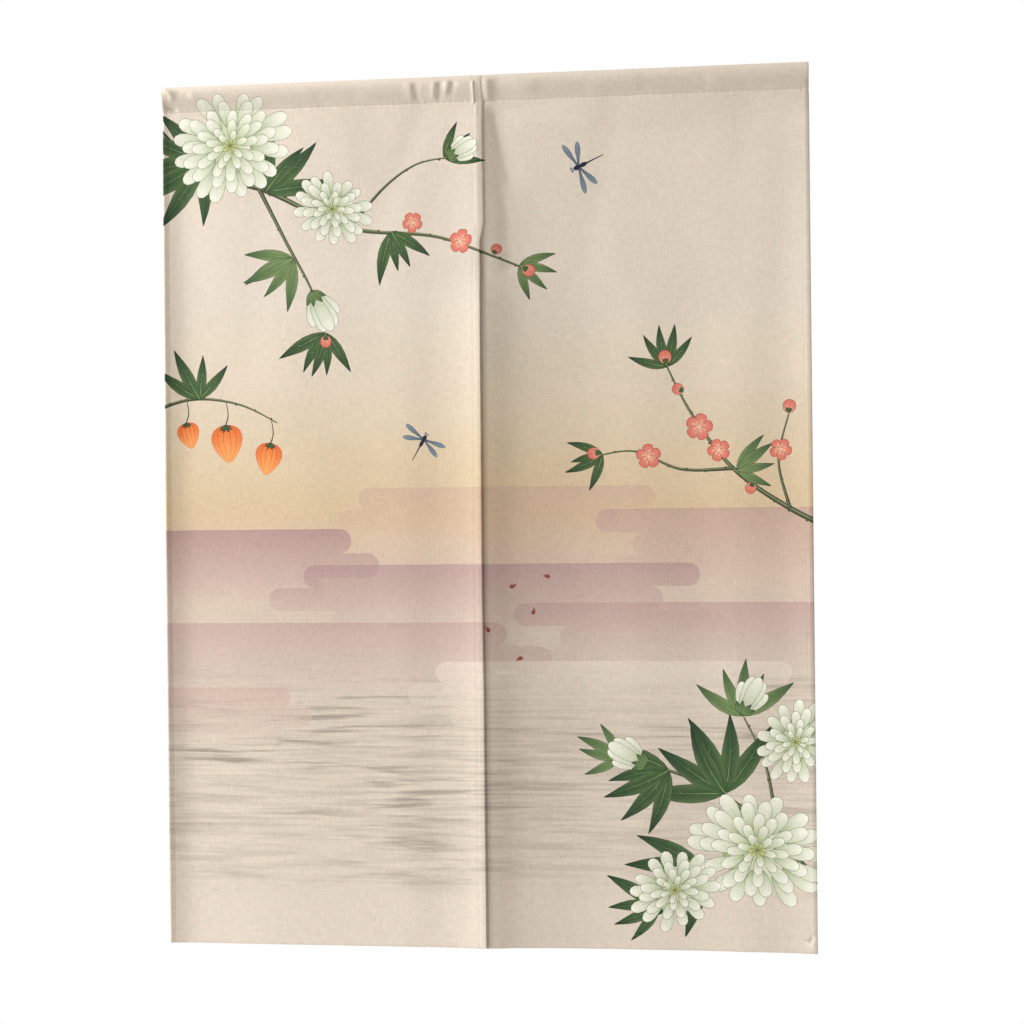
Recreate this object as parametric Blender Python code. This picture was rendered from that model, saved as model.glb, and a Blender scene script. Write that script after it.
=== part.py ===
"""A noren: two printed cloth panels that hang side by side from one rod pocket, with a slit between them.

Metres, +Z up. The face looks along -Y, and +X is to the viewer's right. The origin is at the middle of the
top edge, so the curtain hangs below it. The rod isn't part of the curtain.

Each panel is one cloth. Its section starts at the foot, runs up to the pocket's stitch line, goes up over
the rod and comes down behind it to the same line, where it is sewn down. The panel is a row of such
sections, one for each column across it, joined by faces.
"""

import math
from dataclasses import dataclass

import bmesh
import bpy

# Overall sizes, as hung.
CURTAIN_WIDTH = 0.900
CURTAIN_HEIGHT = 1.200

# The cloth and its hems.
CLOTH = 0.0010
HEM_EXTRA = 0.0009  # what the turned-in layer adds behind
SIDE_HEM = 0.010
BOTTOM_HEM = 0.020
STEP = 0.0006  # the short slope where a second layer ends

# The rod pocket.
POCKET_HEIGHT = 0.036  # from the top edge to the stitch line
POCKET_RADIUS = 0.0100  # outside, where the cloth goes over the rod
POCKET_SWELL = 1.3  # over 1, the two walls part late above the stitch line
WALLS_PART = 0.17  # share of the way up to the rod where they part inside
WALL_ROWS = (0.36, 0.58, 0.79, 1.0)  # shares of the way up from the stitch line to the rod's middle
ARC_STEPS = 8
FLAP_TAIL = 0.004  # the sewn-down end of the cloth reaches this far under the stitch line

# The lap, where the left panel lies over the right one.
LAP_EDGE = 0.0085  # the left panel's inner edge
LAP = 0.012  # how far the right panel reaches behind it
LAP_BAND = 0.014  # the flat stretch of each panel at the lap
SEAM_LENGTH = 0.215  # from the top edge down to here, the lap is sewn shut
SEAM_GAP = 0.0003  # between two layers that are sewn together
SLIT_GAP = 0.0022  # between the free hems lower down
SLIT_OPENS_OVER = 0.120
SLIT_DRIFT = 0.0085  # how far the slit has moved to the left at the foot

# The folds grow from nothing at the stitch line to their full reach over this length.
HANG_LENGTH = 0.300

# Spacing of the columns and rows.
COLUMN_STEP = 0.0240
SEAM_COLUMN_STEP = 0.0120
SEAM_FOLD_WIDTH = 0.084
ROW_STEP = 0.0620
SLIT_ROW_STEP = 0.0320

ROD_Z = -POCKET_RADIUS
STITCH_Z = -POCKET_HEIGHT
TAIL_Z = STITCH_Z - FLAP_TAIL
FOOT_Z = -CURTAIN_HEIGHT
SEAM_END_Z = -SEAM_LENGTH
SLIT_OPEN_Z = SEAM_END_Z - SLIT_OPENS_OVER
HALF_WIDTH = CURTAIN_WIDTH / 2
WALL_RADIUS = POCKET_RADIUS - CLOTH / 2
SEWN_LAYER = CLOTH + HEM_EXTRA + SEAM_GAP  # from one sewn cloth's middle to the next one's, at the lap
TUCKED_EDGE = LAP_EDGE - LAP
TAB_TOP_Z = TAIL_Z - 3 * STEP  # the tucked edge of the right panel starts here


@dataclass(frozen=True)
class Fold:
    """A crest or a trough down the cloth: its place across at the stitch line and below it, and its reach."""

    name: str
    x_stitched: float
    x_hanging: float
    forward: float


# From each panel's outer edge to the lap.
LEFT_FOLDS = (
    Fold("outer edge", -0.450, -0.450, 0.0066),
    Fold("edge trough", -0.412, -0.405, 0.0048),
    Fold("wide crest", -0.300, -0.270, 0.0054),
    Fold("middle trough", -0.190, -0.155, 0.0044),
    Fold("inner crest", -0.118, -0.100, 0.0050),
    Fold("seam trough", -0.062, -0.060, 0.0046),
)
RIGHT_FOLDS = (
    Fold("outer edge", 0.450, 0.450, -0.0038),
    Fold("edge trough", 0.412, 0.402, -0.0054),
    Fold("flat crest", 0.370, 0.358, -0.0050),
    Fold("deep trough", 0.290, 0.305, -0.0057),
    Fold("foot of the seam slope", 0.072, 0.205, -0.0036),
)
LAP_FORWARD = 0.0045  # of the middle of the lap
LEFT_SEAM_CURVE = 1.6  # over 1, the slope down from the lap is steepest at the lap
RIGHT_SEAM_CURVE = 2.2

OUTER, INNER = -1, 1  # the cloth's two faces: the printed one, and the one behind or inside the pocket


def ease(share):
    """From 0 to 1, level at both ends."""
    share = min(1.0, max(0.0, share))
    return share * share * (3 - 2 * share)


def hang(z):
    """How much of their reach the folds have at this height."""
    return ease((STITCH_Z - z) / HANG_LENGTH)


def lap_spacing(z):
    """From the middle of the left panel's cloth to the middle of the right one's, at the lap."""
    return SEWN_LAYER + (SLIT_GAP - SEAM_GAP) * ease((SEAM_END_Z - z) / SLIT_OPENS_OVER)


def spread(start, end, step):
    """Even places from start to end, both included, about a step apart."""
    count = max(1, round(abs(end - start) / step))
    return [start + (end - start) * i / count for i in range(count + 1)]


def row_heights():
    """Heights of the rows below the pocket, from the foot to the stitch line."""
    hem_top = FOOT_Z + BOTTOM_HEM
    heights = [FOOT_Z, hem_top, *spread(hem_top + STEP, SLIT_OPEN_Z, ROW_STEP)]
    heights += spread(SLIT_OPEN_Z, SEAM_END_Z, SLIT_ROW_STEP)[1:]
    heights += spread(SEAM_END_Z, TAB_TOP_Z, SLIT_ROW_STEP)[1:]
    return heights + [TAIL_Z - STEP, TAIL_Z, STITCH_Z]


class Panel:
    """One panel: where its edges are and how its cloth hangs. side is -1 on the left and 1 on the right."""

    def __init__(self, folds, side, seam_curve):
        self.folds = folds
        self.side = side
        self.seam_curve = seam_curve
        self.outer_edge = side * HALF_WIDTH
        self.inner_edge = LAP_EDGE if side < 0 else TUCKED_EDGE
        self.band_end = self.inner_edge + side * LAP_BAND

    def pocket_columns(self):
        """Places across the panel, from its outer edge to the end of its pocket."""
        side = self.side
        hem_end = self.outer_edge - side * SIDE_HEM
        seam_fold = side * SEAM_FOLD_WIDTH
        places = [self.outer_edge, hem_end, *spread(hem_end - side * STEP, seam_fold, COLUMN_STEP)]
        places += spread(seam_fold, self.band_end, SEAM_COLUMN_STEP)[1:]
        if side < 0:
            return places + [self.inner_edge - SIDE_HEM, self.inner_edge]
        return places + [LAP_EDGE + SEAM_GAP]

    def tucked_columns(self):
        """Places across the edge that is tucked behind the other panel. The left panel has none."""
        if self.side < 0:
            return []
        return [self.inner_edge + SIDE_HEM + STEP, self.inner_edge + SIDE_HEM, self.inner_edge]

    def crests(self, z):
        """Place and forward reach of each crest and trough at this height, from the lap outwards."""
        grown = hang(z)
        lap = LAP_FORWARD * grown - self.side * lap_spacing(z) / 2
        found = [(self.band_end, lap)]
        for fold in reversed(self.folds):
            place = fold.x_stitched + (fold.x_hanging - fold.x_stitched) * grown
            found.append((place, fold.forward * grown))
        return found

    def forward(self, x, z):
        """How far the middle of the cloth hangs in front of the rod's middle, towards the viewer."""
        crests = self.crests(z)
        if self.side * (x - self.band_end) <= 0:
            return crests[0][1]
        near = max(i for i, (place, _) in enumerate(crests[:-1]) if self.side * (x - place) >= 0)
        (x0, f0), (x1, f1) = crests[near : near + 2]
        share = (x - x0) / (x1 - x0)
        if near == 0:  # steepest at the lap
            return f1 + (f0 - f1) * (1 - share) ** self.seam_curve
        if near == len(crests) - 2:  # steepest at the outer edge
            return f1 + (f0 - f1) * math.sin((1 - share) * math.pi / 2)
        return f0 + (f1 - f0) * ease(share)

    def side_hem(self, x):
        """What the side hems add behind the cloth here."""
        from_edge = min(abs(x - self.outer_edge), abs(x - self.inner_edge))
        return HEM_EXTRA if from_edge < SIDE_HEM + STEP / 2 else 0.0

    def layers(self, x, z):
        """What all hems, and the sewn-down end of the pocket, add behind the cloth below the pocket."""
        foot = HEM_EXTRA if z < FOOT_Z + BOTTOM_HEM + STEP / 2 else 0.0
        tail = CLOTH if z > TAIL_Z - STEP / 2 else 0.0
        return self.side_hem(x) + foot + tail

    def placed(self, x, y, z):
        """The point, moved across with the slit's drift, which fades out towards the outer edges."""
        return x - SLIT_DRIFT * z / FOOT_Z * (1 - abs(x) / HALF_WIDTH), y, z

    def hanging(self, x, z, face):
        """A point of the cloth below the pocket."""
        depth = -CLOTH / 2 if face == OUTER else CLOTH / 2 + self.layers(x, z)
        return self.placed(x, depth - self.forward(x, z), z)

    def wall(self, x, share, way, face):
        """A point of the pocket's wall, at a share of the way up to the rod. way is -1 in front, 1 behind."""
        swell = math.sin(share * math.pi / 2) ** POCKET_SWELL
        inward = -CLOTH / 2 if face == OUTER else CLOTH / 2 + self.side_hem(x)
        y = way * (WALL_RADIUS * swell - inward) - self.forward(x, STITCH_Z) * (1 - swell)
        return self.placed(x, y, STITCH_Z + (ROD_Z - STITCH_Z) * share)

    def over(self, x, angle, face):
        """A point of the cloth over the rod, at an angle from the front."""
        inward = -CLOTH / 2 if face == OUTER else CLOTH / 2 + self.side_hem(x)
        radius = WALL_RADIUS - inward
        return self.placed(x, -radius * math.cos(angle), ROD_Z + radius * math.sin(angle))

    def corners(self, x, face):
        """One face of the section: up from the foot, over the rod and down behind it."""
        angles = [math.pi * step / ARC_STEPS for step in range(1, ARC_STEPS)]
        points = [self.hanging(x, z, face) for z in row_heights()]
        points += [self.wall(x, share, -1, face) for share in WALL_ROWS]
        points += [self.over(x, angle, face) for angle in angles]
        points += [self.wall(x, share, 1, face) for share in reversed(WALL_ROWS)]
        return points

    def parting(self, x):
        """Where the two walls of the pocket part, inside it."""
        return self.placed(x, -self.forward(x, STITCH_Z), STITCH_Z + (ROD_Z - STITCH_Z) * WALLS_PART)


class Section:
    """The corners of one column's section, as vertices."""

    stitch = len(row_heights()) - 1  # the row of the stitch line
    tab = stitch - 3  # the row where the tucked edge starts

    def __init__(self, mesh, panel, x):
        self.outer = [mesh.verts.new(point) for point in panel.corners(x, OUTER)]
        self.inner = [mesh.verts.new(point) for point in panel.corners(x, INNER)]
        self.parting = mesh.verts.new(panel.parting(x))

    def outline(self):
        """The loop round the whole section."""
        return self.outer + self.inner[self.stitch :: -1]

    def tube(self):
        """The loop round the inside of the pocket."""
        return [self.parting, *self.inner[self.stitch + 1 :]]

    def tab_outline(self):
        """The loop round the section below the pocket's stitching, for the tucked edge."""
        return self.outer[: self.tab + 1] + self.inner[self.tab :: -1]

    def cells(self, first, last):
        """The cut cloth from one row to another, as four-sided cells."""
        pairs = list(zip(self.outer, self.inner))[first : last + 1]
        return [(a, b, d, c) for (a, c), (b, d) in zip(pairs, pairs[1:])]

    def pocket_cells(self):
        """The cut cloth from the stitch line up, over and down again."""
        stitch = self.stitch
        return [
            (self.outer[stitch], self.parting, self.inner[stitch]),
            (self.outer[stitch], self.outer[stitch + 1], self.inner[stitch + 1], self.parting),
            *self.cells(stitch + 1, len(self.outer) - 1),
            (self.outer[-1], self.inner[stitch], self.parting, self.inner[-1]),
        ]


def bridge(mesh, loop, other):
    """Faces between two closed loops of as many corners."""
    for i in range(len(loop)):
        mesh.faces.new((loop[i - 1], loop[i], other[i], other[i - 1]))


def fill(mesh, cells):
    """One face for each cell."""
    for cell in cells:
        mesh.faces.new(cell)


def panel_mesh(name, panel):
    """The panel's closed solid."""
    mesh = bmesh.new()
    sections = [Section(mesh, panel, x) for x in panel.pocket_columns()]
    for near, far in zip(sections, sections[1:]):
        bridge(mesh, near.outline(), far.outline())
        bridge(mesh, near.tube(), far.tube())
    start, end = sections[0], sections[-1]
    fill(mesh, start.cells(0, Section.stitch) + start.pocket_cells() + end.pocket_cells())
    tucked = [end, *(Section(mesh, panel, x) for x in panel.tucked_columns())]
    for near, far in zip(tucked, tucked[1:]):
        bridge(mesh, near.tab_outline(), far.tab_outline())
    fill(mesh, tucked[-1].cells(0, Section.tab) + end.cells(Section.tab, Section.stitch))
    bmesh.ops.delete(mesh, geom=[vert for vert in mesh.verts if not vert.link_faces], context="VERTS")
    bmesh.ops.recalc_face_normals(mesh, faces=mesh.faces[:])
    data = bpy.data.meshes.new(name)
    mesh.to_mesh(data)
    mesh.free()
    return data


def cloth_material(name, colour):
    """Slubbed linen-look cloth."""
    material = bpy.data.materials.new(name)
    material.use_nodes = True
    shader = material.node_tree.nodes["Principled BSDF"]
    shader.inputs["Base Color"].default_value = (*colour, 1.0)
    shader.inputs["Roughness"].default_value = 0.9
    shader.inputs["Metallic"].default_value = 0.0
    material.diffuse_color = (*colour, 1.0)
    return material


def add_panel(name, panel, colour):
    """The panel as an object."""
    data = panel_mesh(name, panel)
    data.materials.append(cloth_material(f"{name}_cloth", colour))
    data.shade_smooth()
    data.set_sharp_from_angle(angle=math.radians(40))
    bpy.context.scene.collection.objects.link(bpy.data.objects.new(name, data))


def main():
    for old in list(bpy.data.objects):
        bpy.data.objects.remove(old)
    add_panel("left_panel", Panel(LEFT_FOLDS, -1, LEFT_SEAM_CURVE), (0.79, 0.71, 0.61))
    add_panel("right_panel", Panel(RIGHT_FOLDS, 1, RIGHT_SEAM_CURVE), (0.70, 0.60, 0.50))


main()
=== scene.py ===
"""Looks of a noren: two panels of printed linen-look cloth that lap at a half-open slit.

Metres, +Z up. The face looks along -Y. Each panel is one sheet in cloth coordinates (across, along): "across"
is the place from left to right, and "along" runs up from the foot, over the rod pocket and down behind it.
The print is drawn in those coordinates as closed shapes. They are cut into the sheet's mesh, so their edges
stay sharp from close by.
"""

import logging
import math
import random
from collections.abc import Iterable, Sequence
from dataclasses import dataclass, field
from enum import Enum

import bpy
import numpy as np
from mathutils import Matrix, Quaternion, Vector
from mathutils.geometry import delaunay_2d_cdt


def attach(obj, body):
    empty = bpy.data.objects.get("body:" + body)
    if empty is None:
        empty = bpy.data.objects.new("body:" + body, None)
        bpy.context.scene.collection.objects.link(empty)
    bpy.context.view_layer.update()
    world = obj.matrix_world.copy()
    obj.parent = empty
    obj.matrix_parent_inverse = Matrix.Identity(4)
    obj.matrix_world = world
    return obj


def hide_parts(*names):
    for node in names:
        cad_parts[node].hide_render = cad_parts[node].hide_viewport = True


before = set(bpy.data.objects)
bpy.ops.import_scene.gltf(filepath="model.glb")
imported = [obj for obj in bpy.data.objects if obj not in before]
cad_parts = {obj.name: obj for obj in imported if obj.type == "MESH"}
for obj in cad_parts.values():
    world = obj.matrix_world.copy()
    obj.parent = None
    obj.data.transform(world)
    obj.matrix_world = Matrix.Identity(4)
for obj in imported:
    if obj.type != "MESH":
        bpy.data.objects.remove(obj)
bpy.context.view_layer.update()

log = logging.getLogger("noren")
Array = np.ndarray
Place = tuple[float, float]
Colour = tuple[float, float, float]
Point = tuple[float, float, float]
Socket = bpy.types.NodeSocket
Sockets = bpy.types.bpy_prop_collection
Inputs = dict[str | int, object]

INK_ATTRIBUTE = "ink"
BARE_ATTRIBUTE = "bare_ground"
CLOTH_MAP = "cloth_metres"


def shade(red: int, green: int, blue: int) -> Colour:
    """A screen colour, each part from 0 to 255, as linear light."""
    parts = [part / 255 for part in (red, green, blue)]
    return tuple(((part + 0.055) / 1.055) ** 2.4 if part > 0.04 else part / 12.92 for part in parts)


def ease(share: Array) -> Array:
    """From 0 to 1, level at both ends."""
    share = np.clip(share, 0.0, 1.0)
    return share * share * (3 - 2 * share)


def steps(start: float, end: float, step: float) -> Array:
    """Even places from start to end, both included, about a step apart."""
    return np.linspace(start, end, max(2, round(abs(end - start) / step) + 1))


@dataclass(frozen=True)
class CurtainSizes:
    """Sizes that the curtain is cut, folded and sewn to, in metres."""

    width: float = 0.900
    height: float = 1.200
    pocket_radius: float = 0.0100
    face_depth: float = 0.0005  # from the middle of the frame's cloth to its printed face
    cloth: float = 0.0006
    hem_extra: float = 0.0007
    side_hem: float = 0.010
    foot_hem: float = 0.020
    hem_step: float = 0.0006
    edge_roll: float = 0.0004
    edge_roll_width: float = 0.0014
    pocket_height: float = 0.036
    pocket_swell: float = 1.3
    flap_tail: float = 0.004
    flap_depth: float = 0.0015  # of the flap's face behind the cloth's middle, where it is sewn down
    lap_edge: float = 0.0085
    lap: float = 0.012
    lap_band: float = 0.014
    tab_drop: float = 0.0003  # the tucked edge starts this far under the stitch line
    tab_gap: float = 0.0003
    seam_length: float = 0.215
    sewn_layer: float = 0.0017
    slit_extra: float = 0.0020
    slit_opens_over: float = 0.120
    slit_drift: float = 0.0085
    slit_bow: float = 0.0026
    bow_skew: float = 2.9  # over 0, the slit bows more near the foot
    edge_inset: float = 0.0014  # of the left edge under the pocket
    inset_start: float = 0.02
    inset_swell: float = 0.6  # it is this much deeper about its middle
    inset_middle: float = 0.35
    inset_reach: float = 0.16
    hang_length: float = 0.300
    lap_forward: float = 0.0045

    # How far the slit's edges are drawn to the left at each height, from the foot up.
    slit_pull: tuple[Place, ...] = (
        (-0.86, 0.0),
        (-0.72, 0.0013),
        (-0.50, 0.0018),
        (-0.33, 0.0026),
        (-0.228, 0.0030),
        (-0.204, -0.0022),
        (-0.09, 0.0),
    )
    slit_pull_reach: float = 0.045

    @property
    def foot(self) -> float:
        """Height of the foot."""
        return -self.height

    @property
    def stitch(self) -> float:
        """Height of the pocket's stitch line."""
        return -self.pocket_height

    @property
    def rod(self) -> float:
        """Height of the rod's middle."""
        return -self.pocket_radius


SIZES = CurtainSizes()

@dataclass(frozen=True)
class Fold:
    """A crest or a trough down the cloth: its place across at the stitch line and below it, and its reach."""

    name: str
    stitched: float
    hanging: float
    forward: float


@dataclass(frozen=True)
class Crease:
    """A soft line of its own in the cloth, from one place down to another.

    Args:
        name: what it is.
        start: its upper end.
        end: its lower end.
        width: how far it reaches aside.
        height: how far it comes forward, or back if under 0.
        right_width: how far it reaches to the right, if that differs.
        fade: how far it runs on past its ends, if that differs.
    """

    name: str
    start: Place
    end: Place
    width: float
    height: float
    right_width: float = 0.0
    fade: float = 0.0

    def lift(self, across: Array, along: Array) -> Array:
        """How far the crease brings each place forward.

        Args:
            across, along: the places in cloth coordinates.

        Returns:
            A length for each place, under 0 where it goes back.
        """
        x, z = across - self.start[0], along - self.start[1]
        dx, dz = self.end[0] - self.start[0], self.end[1] - self.start[1]
        length = math.hypot(dx, dz)
        run = (x * dx + z * dz) / length
        off = (x * dz - z * dx) / length
        past = np.maximum(np.maximum(-run, run - length), 0.0)
        reach = np.where(off < 0, self.right_width or self.width, self.width)
        return self.height * np.exp(-((off / reach) ** 2) - (past / (self.fade or self.width)) ** 2)


class PocketPath:
    """The printed face's way from the stitch line up over the rod and down behind, by distance along it."""

    WALL_STEPS = 60
    TURN_STEPS = 90

    def __init__(self, sizes: CurtainSizes) -> None:
        """Lays out the path.

        Args:
            sizes: the curtain's sizes.
        """
        rise = np.linspace(0, 1, self.WALL_STEPS)
        swell = np.sin(rise * math.pi / 2) ** sizes.pocket_swell
        turn = np.linspace(0, math.pi, self.TURN_STEPS)[1:-1]
        front = sizes.face_depth + (sizes.pocket_radius - sizes.face_depth) * swell
        behind = sizes.flap_depth + (sizes.pocket_radius - sizes.flap_depth) * swell
        wall = sizes.stitch + (sizes.rod - sizes.stitch) * rise
        y = [-front, -sizes.pocket_radius * np.cos(turn), behind[::-1], [sizes.flap_depth]]
        tail = sizes.stitch - sizes.flap_tail
        z = [wall, sizes.rod + sizes.pocket_radius * np.sin(turn), wall[::-1], [tail]]
        hold = [1 - swell, np.zeros_like(turn), 1 - swell[::-1], [1.0]]
        self.y, self.z, self.hold = (np.concatenate(part) for part in (y, z, hold))
        self.distance = np.concatenate([[0.0], np.cumsum(np.hypot(np.diff(self.y), np.diff(self.z)))])
        self.length = float(self.distance[-1])
        self.front_wall = float(self.distance[len(rise) - 1])

    def read(self, distance: Array) -> tuple[Array, Array, Array]:
        """Depth, height and hold at each distance. hold says how much the hanging cloth's place counts."""
        return tuple(np.interp(distance, self.distance, part) for part in (self.y, self.z, self.hold))


FACE_STEP = 0.00015  # between the places that a direction is read from
POCKET = PocketPath(SIZES)
TOP_ALONG = SIZES.stitch + POCKET.length
POCKET_CREST = SIZES.stitch + POCKET.front_wall + SIZES.pocket_radius * math.pi / 2


@dataclass(frozen=True)
class Panel:
    """One panel of the curtain: its cut, and the shape in which it hangs.

    Args:
        name: what its cloth is called.
        node: the solid in the frame that it stands for.
        side: -1 on the left, 1 on the right.
        seam_curve: over 1, the slope down from the lap is steepest at the lap.
        folds: crests and troughs, from the outer edge to the lap.
        creases: small creases.
    """

    name: str
    node: str
    side: int
    seam_curve: float
    folds: tuple[Fold, ...]
    creases: tuple[Crease, ...]

    @property
    def outer_edge(self) -> float:
        """Where the panel's outer edge is."""
        return self.side * SIZES.width / 2

    @property
    def inner_edge(self) -> float:
        """Where the panel's edge at the slit is."""
        return SIZES.lap_edge if self.side < 0 else SIZES.lap_edge - SIZES.lap

    @property
    def sides(self) -> Place:
        """Where its left and right edges are."""
        left, right = sorted((self.outer_edge, self.inner_edge))
        return left, right

    @property
    def band_end(self) -> float:
        """Where the flat band at the lap ends."""
        return self.inner_edge + self.side * SIZES.lap_band

    def outline(self) -> list[Place]:
        """The cut's corners. The right panel's tucked edge stops short of the pocket.

        Returns:
            The corners, anticlockwise from the foot's left end.
        """
        left, right = self.sides
        if self.side < 0:
            return [(left, SIZES.foot), (right, SIZES.foot), (right, TOP_ALONG), (left, TOP_ALONG)]
        tab_top = SIZES.stitch - SIZES.tab_drop
        pocket_end = SIZES.lap_edge + SIZES.tab_gap
        low = [(left, SIZES.foot), (right, SIZES.foot), (right, TOP_ALONG)]
        return [*low, (pocket_end, TOP_ALONG), (pocket_end, tab_top), (left, tab_top)]

    def flat_size(self) -> tuple[float, float]:
        """Width and length of the cut."""
        return abs(self.outer_edge - self.inner_edge), TOP_ALONG - SIZES.foot

    def crests(self, z: Array) -> list[tuple[Array, Array]]:
        """Place and forward reach of each crest and trough at these heights, from the lap outwards.

        Args:
            z: the heights.

        Returns:
            A place and a reach for each, from the lap outwards.
        """
        grown = ease((SIZES.stitch - z) / SIZES.hang_length)
        opened = ease((-SIZES.seam_length - z) / SIZES.slit_opens_over)
        spacing = SIZES.sewn_layer + SIZES.slit_extra * opened
        found = [(np.full_like(z, self.band_end), SIZES.lap_forward * grown - self.side * spacing / 2)]
        for fold in reversed(self.folds):
            found.append((fold.stitched + (fold.hanging - fold.stitched) * grown, fold.forward * grown))
        return found

    def forward(self, x: Array, z: Array) -> Array:
        """How far the middle of the cloth hangs in front of the rod's middle, towards the viewer.

        Args:
            x: places across.
            z: heights, the same number.

        Returns:
            A length for each place.
        """
        crests = self.crests(z)
        found = crests[0][1].copy()
        for near, ((x0, f0), (x1, f1)) in enumerate(zip(crests, crests[1:])):
            share = np.clip((x - x0) / (x1 - x0), 0.0, 1.0)
            if near == 0:
                level = f1 + (f0 - f1) * (1 - share) ** self.seam_curve
            elif near == len(crests) - 2:
                level = f1 + (f0 - f1) * np.sin((1 - share) * math.pi / 2)
            else:
                level = f0 + (f1 - f0) * ease(share)
            found = np.where(self.side * (x - x0) >= 0, level, found)
        return found

    def from_edge(self, across: Array) -> Array:
        """Distance to the nearer side edge."""
        return np.minimum(np.abs(across - self.outer_edge), np.abs(across - self.inner_edge))

    def hemmed(self, across: Array, along: Array) -> Array:
        """1 where a hem is turned in behind the cloth, and 0 elsewhere.

        Args:
            across, along: the places in cloth coordinates.

        Returns:
            A share for each place.
        """
        side = (SIZES.side_hem + SIZES.hem_step - self.from_edge(across)) / SIZES.hem_step
        foot = (SIZES.foot + SIZES.foot_hem + SIZES.hem_step - along) / SIZES.hem_step
        return np.clip(np.maximum(side, foot), 0.0, 1.0)

    def thickness(self, across: Array, along: Array) -> Array:
        """Thickness of the cloth with its hems."""
        return SIZES.cloth + SIZES.hem_extra * self.hemmed(across, along)

    def lift(self, across: Array, along: Array) -> Array:
        """How far creases, stitching and rolled edges bring the face forward.

        Args:
            across, along: the places in cloth coordinates.

        Returns:
            A length for each place.
        """
        lifted = np.zeros_like(across)
        for crease in self.creases:
            lifted += crease.lift(across, along)
        for groove in stitch_grooves(self):
            lifted += groove.lift(across, along)
        edge = np.minimum(self.from_edge(across), along - SIZES.foot)
        lifted -= SIZES.edge_roll * np.clip(1 - edge / SIZES.edge_roll_width, 0.0, 1.0) ** 2
        return lifted

    def face(self, across: Array, along: Array) -> Array:
        """Points of the printed face.

        Args:
            across, along: the places in cloth coordinates.

        Returns:
            A row of x, y and z for each place.
        """
        hanging = along <= SIZES.stitch
        z = np.minimum(along, SIZES.stitch)
        y, height, hold = POCKET.read(np.maximum(along - SIZES.stitch, 0.0))
        outward = np.where(along > POCKET_CREST, -1.0, 1.0)
        y = y - hold * self.forward(across, z) - outward * self.lift(across, along)
        height = np.where(hanging, along, height)
        return np.stack([across - self.drift(across, height), y, height], axis=1)

    def drift(self, across: Array, height: Array) -> Array:
        """How far the cloth hangs to the left of its flat place, most of it at the slit.

        Args:
            across: places across the cloth.
            height: their heights.

        Returns:
            A length for each place, under 0 to the right.
        """
        share, from_middle = height / SIZES.foot, across / (SIZES.width / 2)
        at_slit = SIZES.slit_drift * share + SIZES.slit_bow * (1 - share) * (1 + SIZES.bow_skew * share)
        past_middle = np.exp(-(((height + SIZES.inset_middle) / SIZES.inset_reach) ** 2))
        inset = ease(-height / SIZES.inset_start) * (1 + SIZES.inset_swell * past_middle)
        heights, pulls = np.array(SIZES.slit_pull).T
        near_slit = np.exp(-(((across - SIZES.lap_edge) / SIZES.slit_pull_reach) ** 2))
        drift = at_slit * (1 - np.abs(from_middle)) + np.interp(height, heights, pulls) * near_slit
        return drift - SIZES.edge_inset * inset * np.clip(-from_middle, 0.0, 1.0)

    def normals(self, across: Array, along: Array) -> Array:
        """Directions that the printed face looks in.

        Args:
            across, along: the places in cloth coordinates.

        Returns:
            A row of unit length for each place.
        """
        reach = FACE_STEP
        sideways = self.face(across + reach, along) - self.face(across - reach, along)
        upwards = self.face(across, along + reach) - self.face(across, along - reach)
        found = np.cross(sideways, upwards)
        return found / np.linalg.norm(found, axis=1, keepdims=True)


@dataclass(frozen=True)
class Groove:
    """The dent that a row of stitches pulls into the cloth, with small puckers beside it."""

    start: Place
    end: Place
    depth: float = 0.00007
    width: float = 0.0006
    pucker: float = 0.00003
    pucker_length: float = 0.0085
    pucker_width: float = 0.0045
    fade: float = 0.004
    sway: float = 1.3
    sway_turns: float = 41.0

    def lift(self, across: Array, along: Array) -> Array:
        """How far the row brings each place forward, which is under 0 in the dent.

        Args:
            across, along: the places in cloth coordinates.

        Returns:
            A length for each place.
        """
        upright = self.start[0] == self.end[0]
        run, off = (along, across - self.start[0]) if upright else (across, along - self.start[1])
        low, high = sorted((self.start[upright], self.end[upright]))
        inside = ease((run - low) / self.fade + 1) * ease((high - run) / self.fade + 1)
        wave = np.sin(run * math.tau / self.pucker_length + self.sway * np.sin(run * self.sway_turns))
        dent = self.depth * np.exp(-((off / self.width) ** 2))
        beside = self.pucker * wave * np.exp(-((off / self.pucker_width) ** 2))
        return (beside - dent) * inside


STITCH_INSET = 0.0012  # from a hem's inner edge to its row of stitches
FLAP_INSET = 0.0008
SEAM_INSET = 0.0022
BAR_RISES = (0.0, 0.0009, 0.0018)  # rows of the bar that locks the seam's foot
BAR_ENDS = (-0.0050, 0.0014)


def stitch_grooves(panel: Panel) -> tuple[Groove, ...]:
    """The rows of stitches that show on a panel's face: the pocket, both side hems, and the foot.

    Args:
        panel: the panel that is sewn.

    Returns:
        A groove for each row.
    """
    outer = panel.outer_edge - panel.side * (SIZES.side_hem - STITCH_INSET)
    inner = panel.inner_edge + panel.side * (SIZES.side_hem - STITCH_INSET)
    foot = SIZES.foot + SIZES.foot_hem - STITCH_INSET
    pocket_end = panel.inner_edge if panel.side < 0 else SIZES.lap_edge
    return (
        Groove((panel.outer_edge, SIZES.stitch), (pocket_end, SIZES.stitch), 0.0004, 0.0010, 0.00007),
        Groove((outer, SIZES.foot), (outer, TOP_ALONG)),
        Groove((inner, SIZES.foot), (inner, SIZES.stitch)),
        Groove((panel.outer_edge, foot), (panel.inner_edge, foot)),
    )


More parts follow.
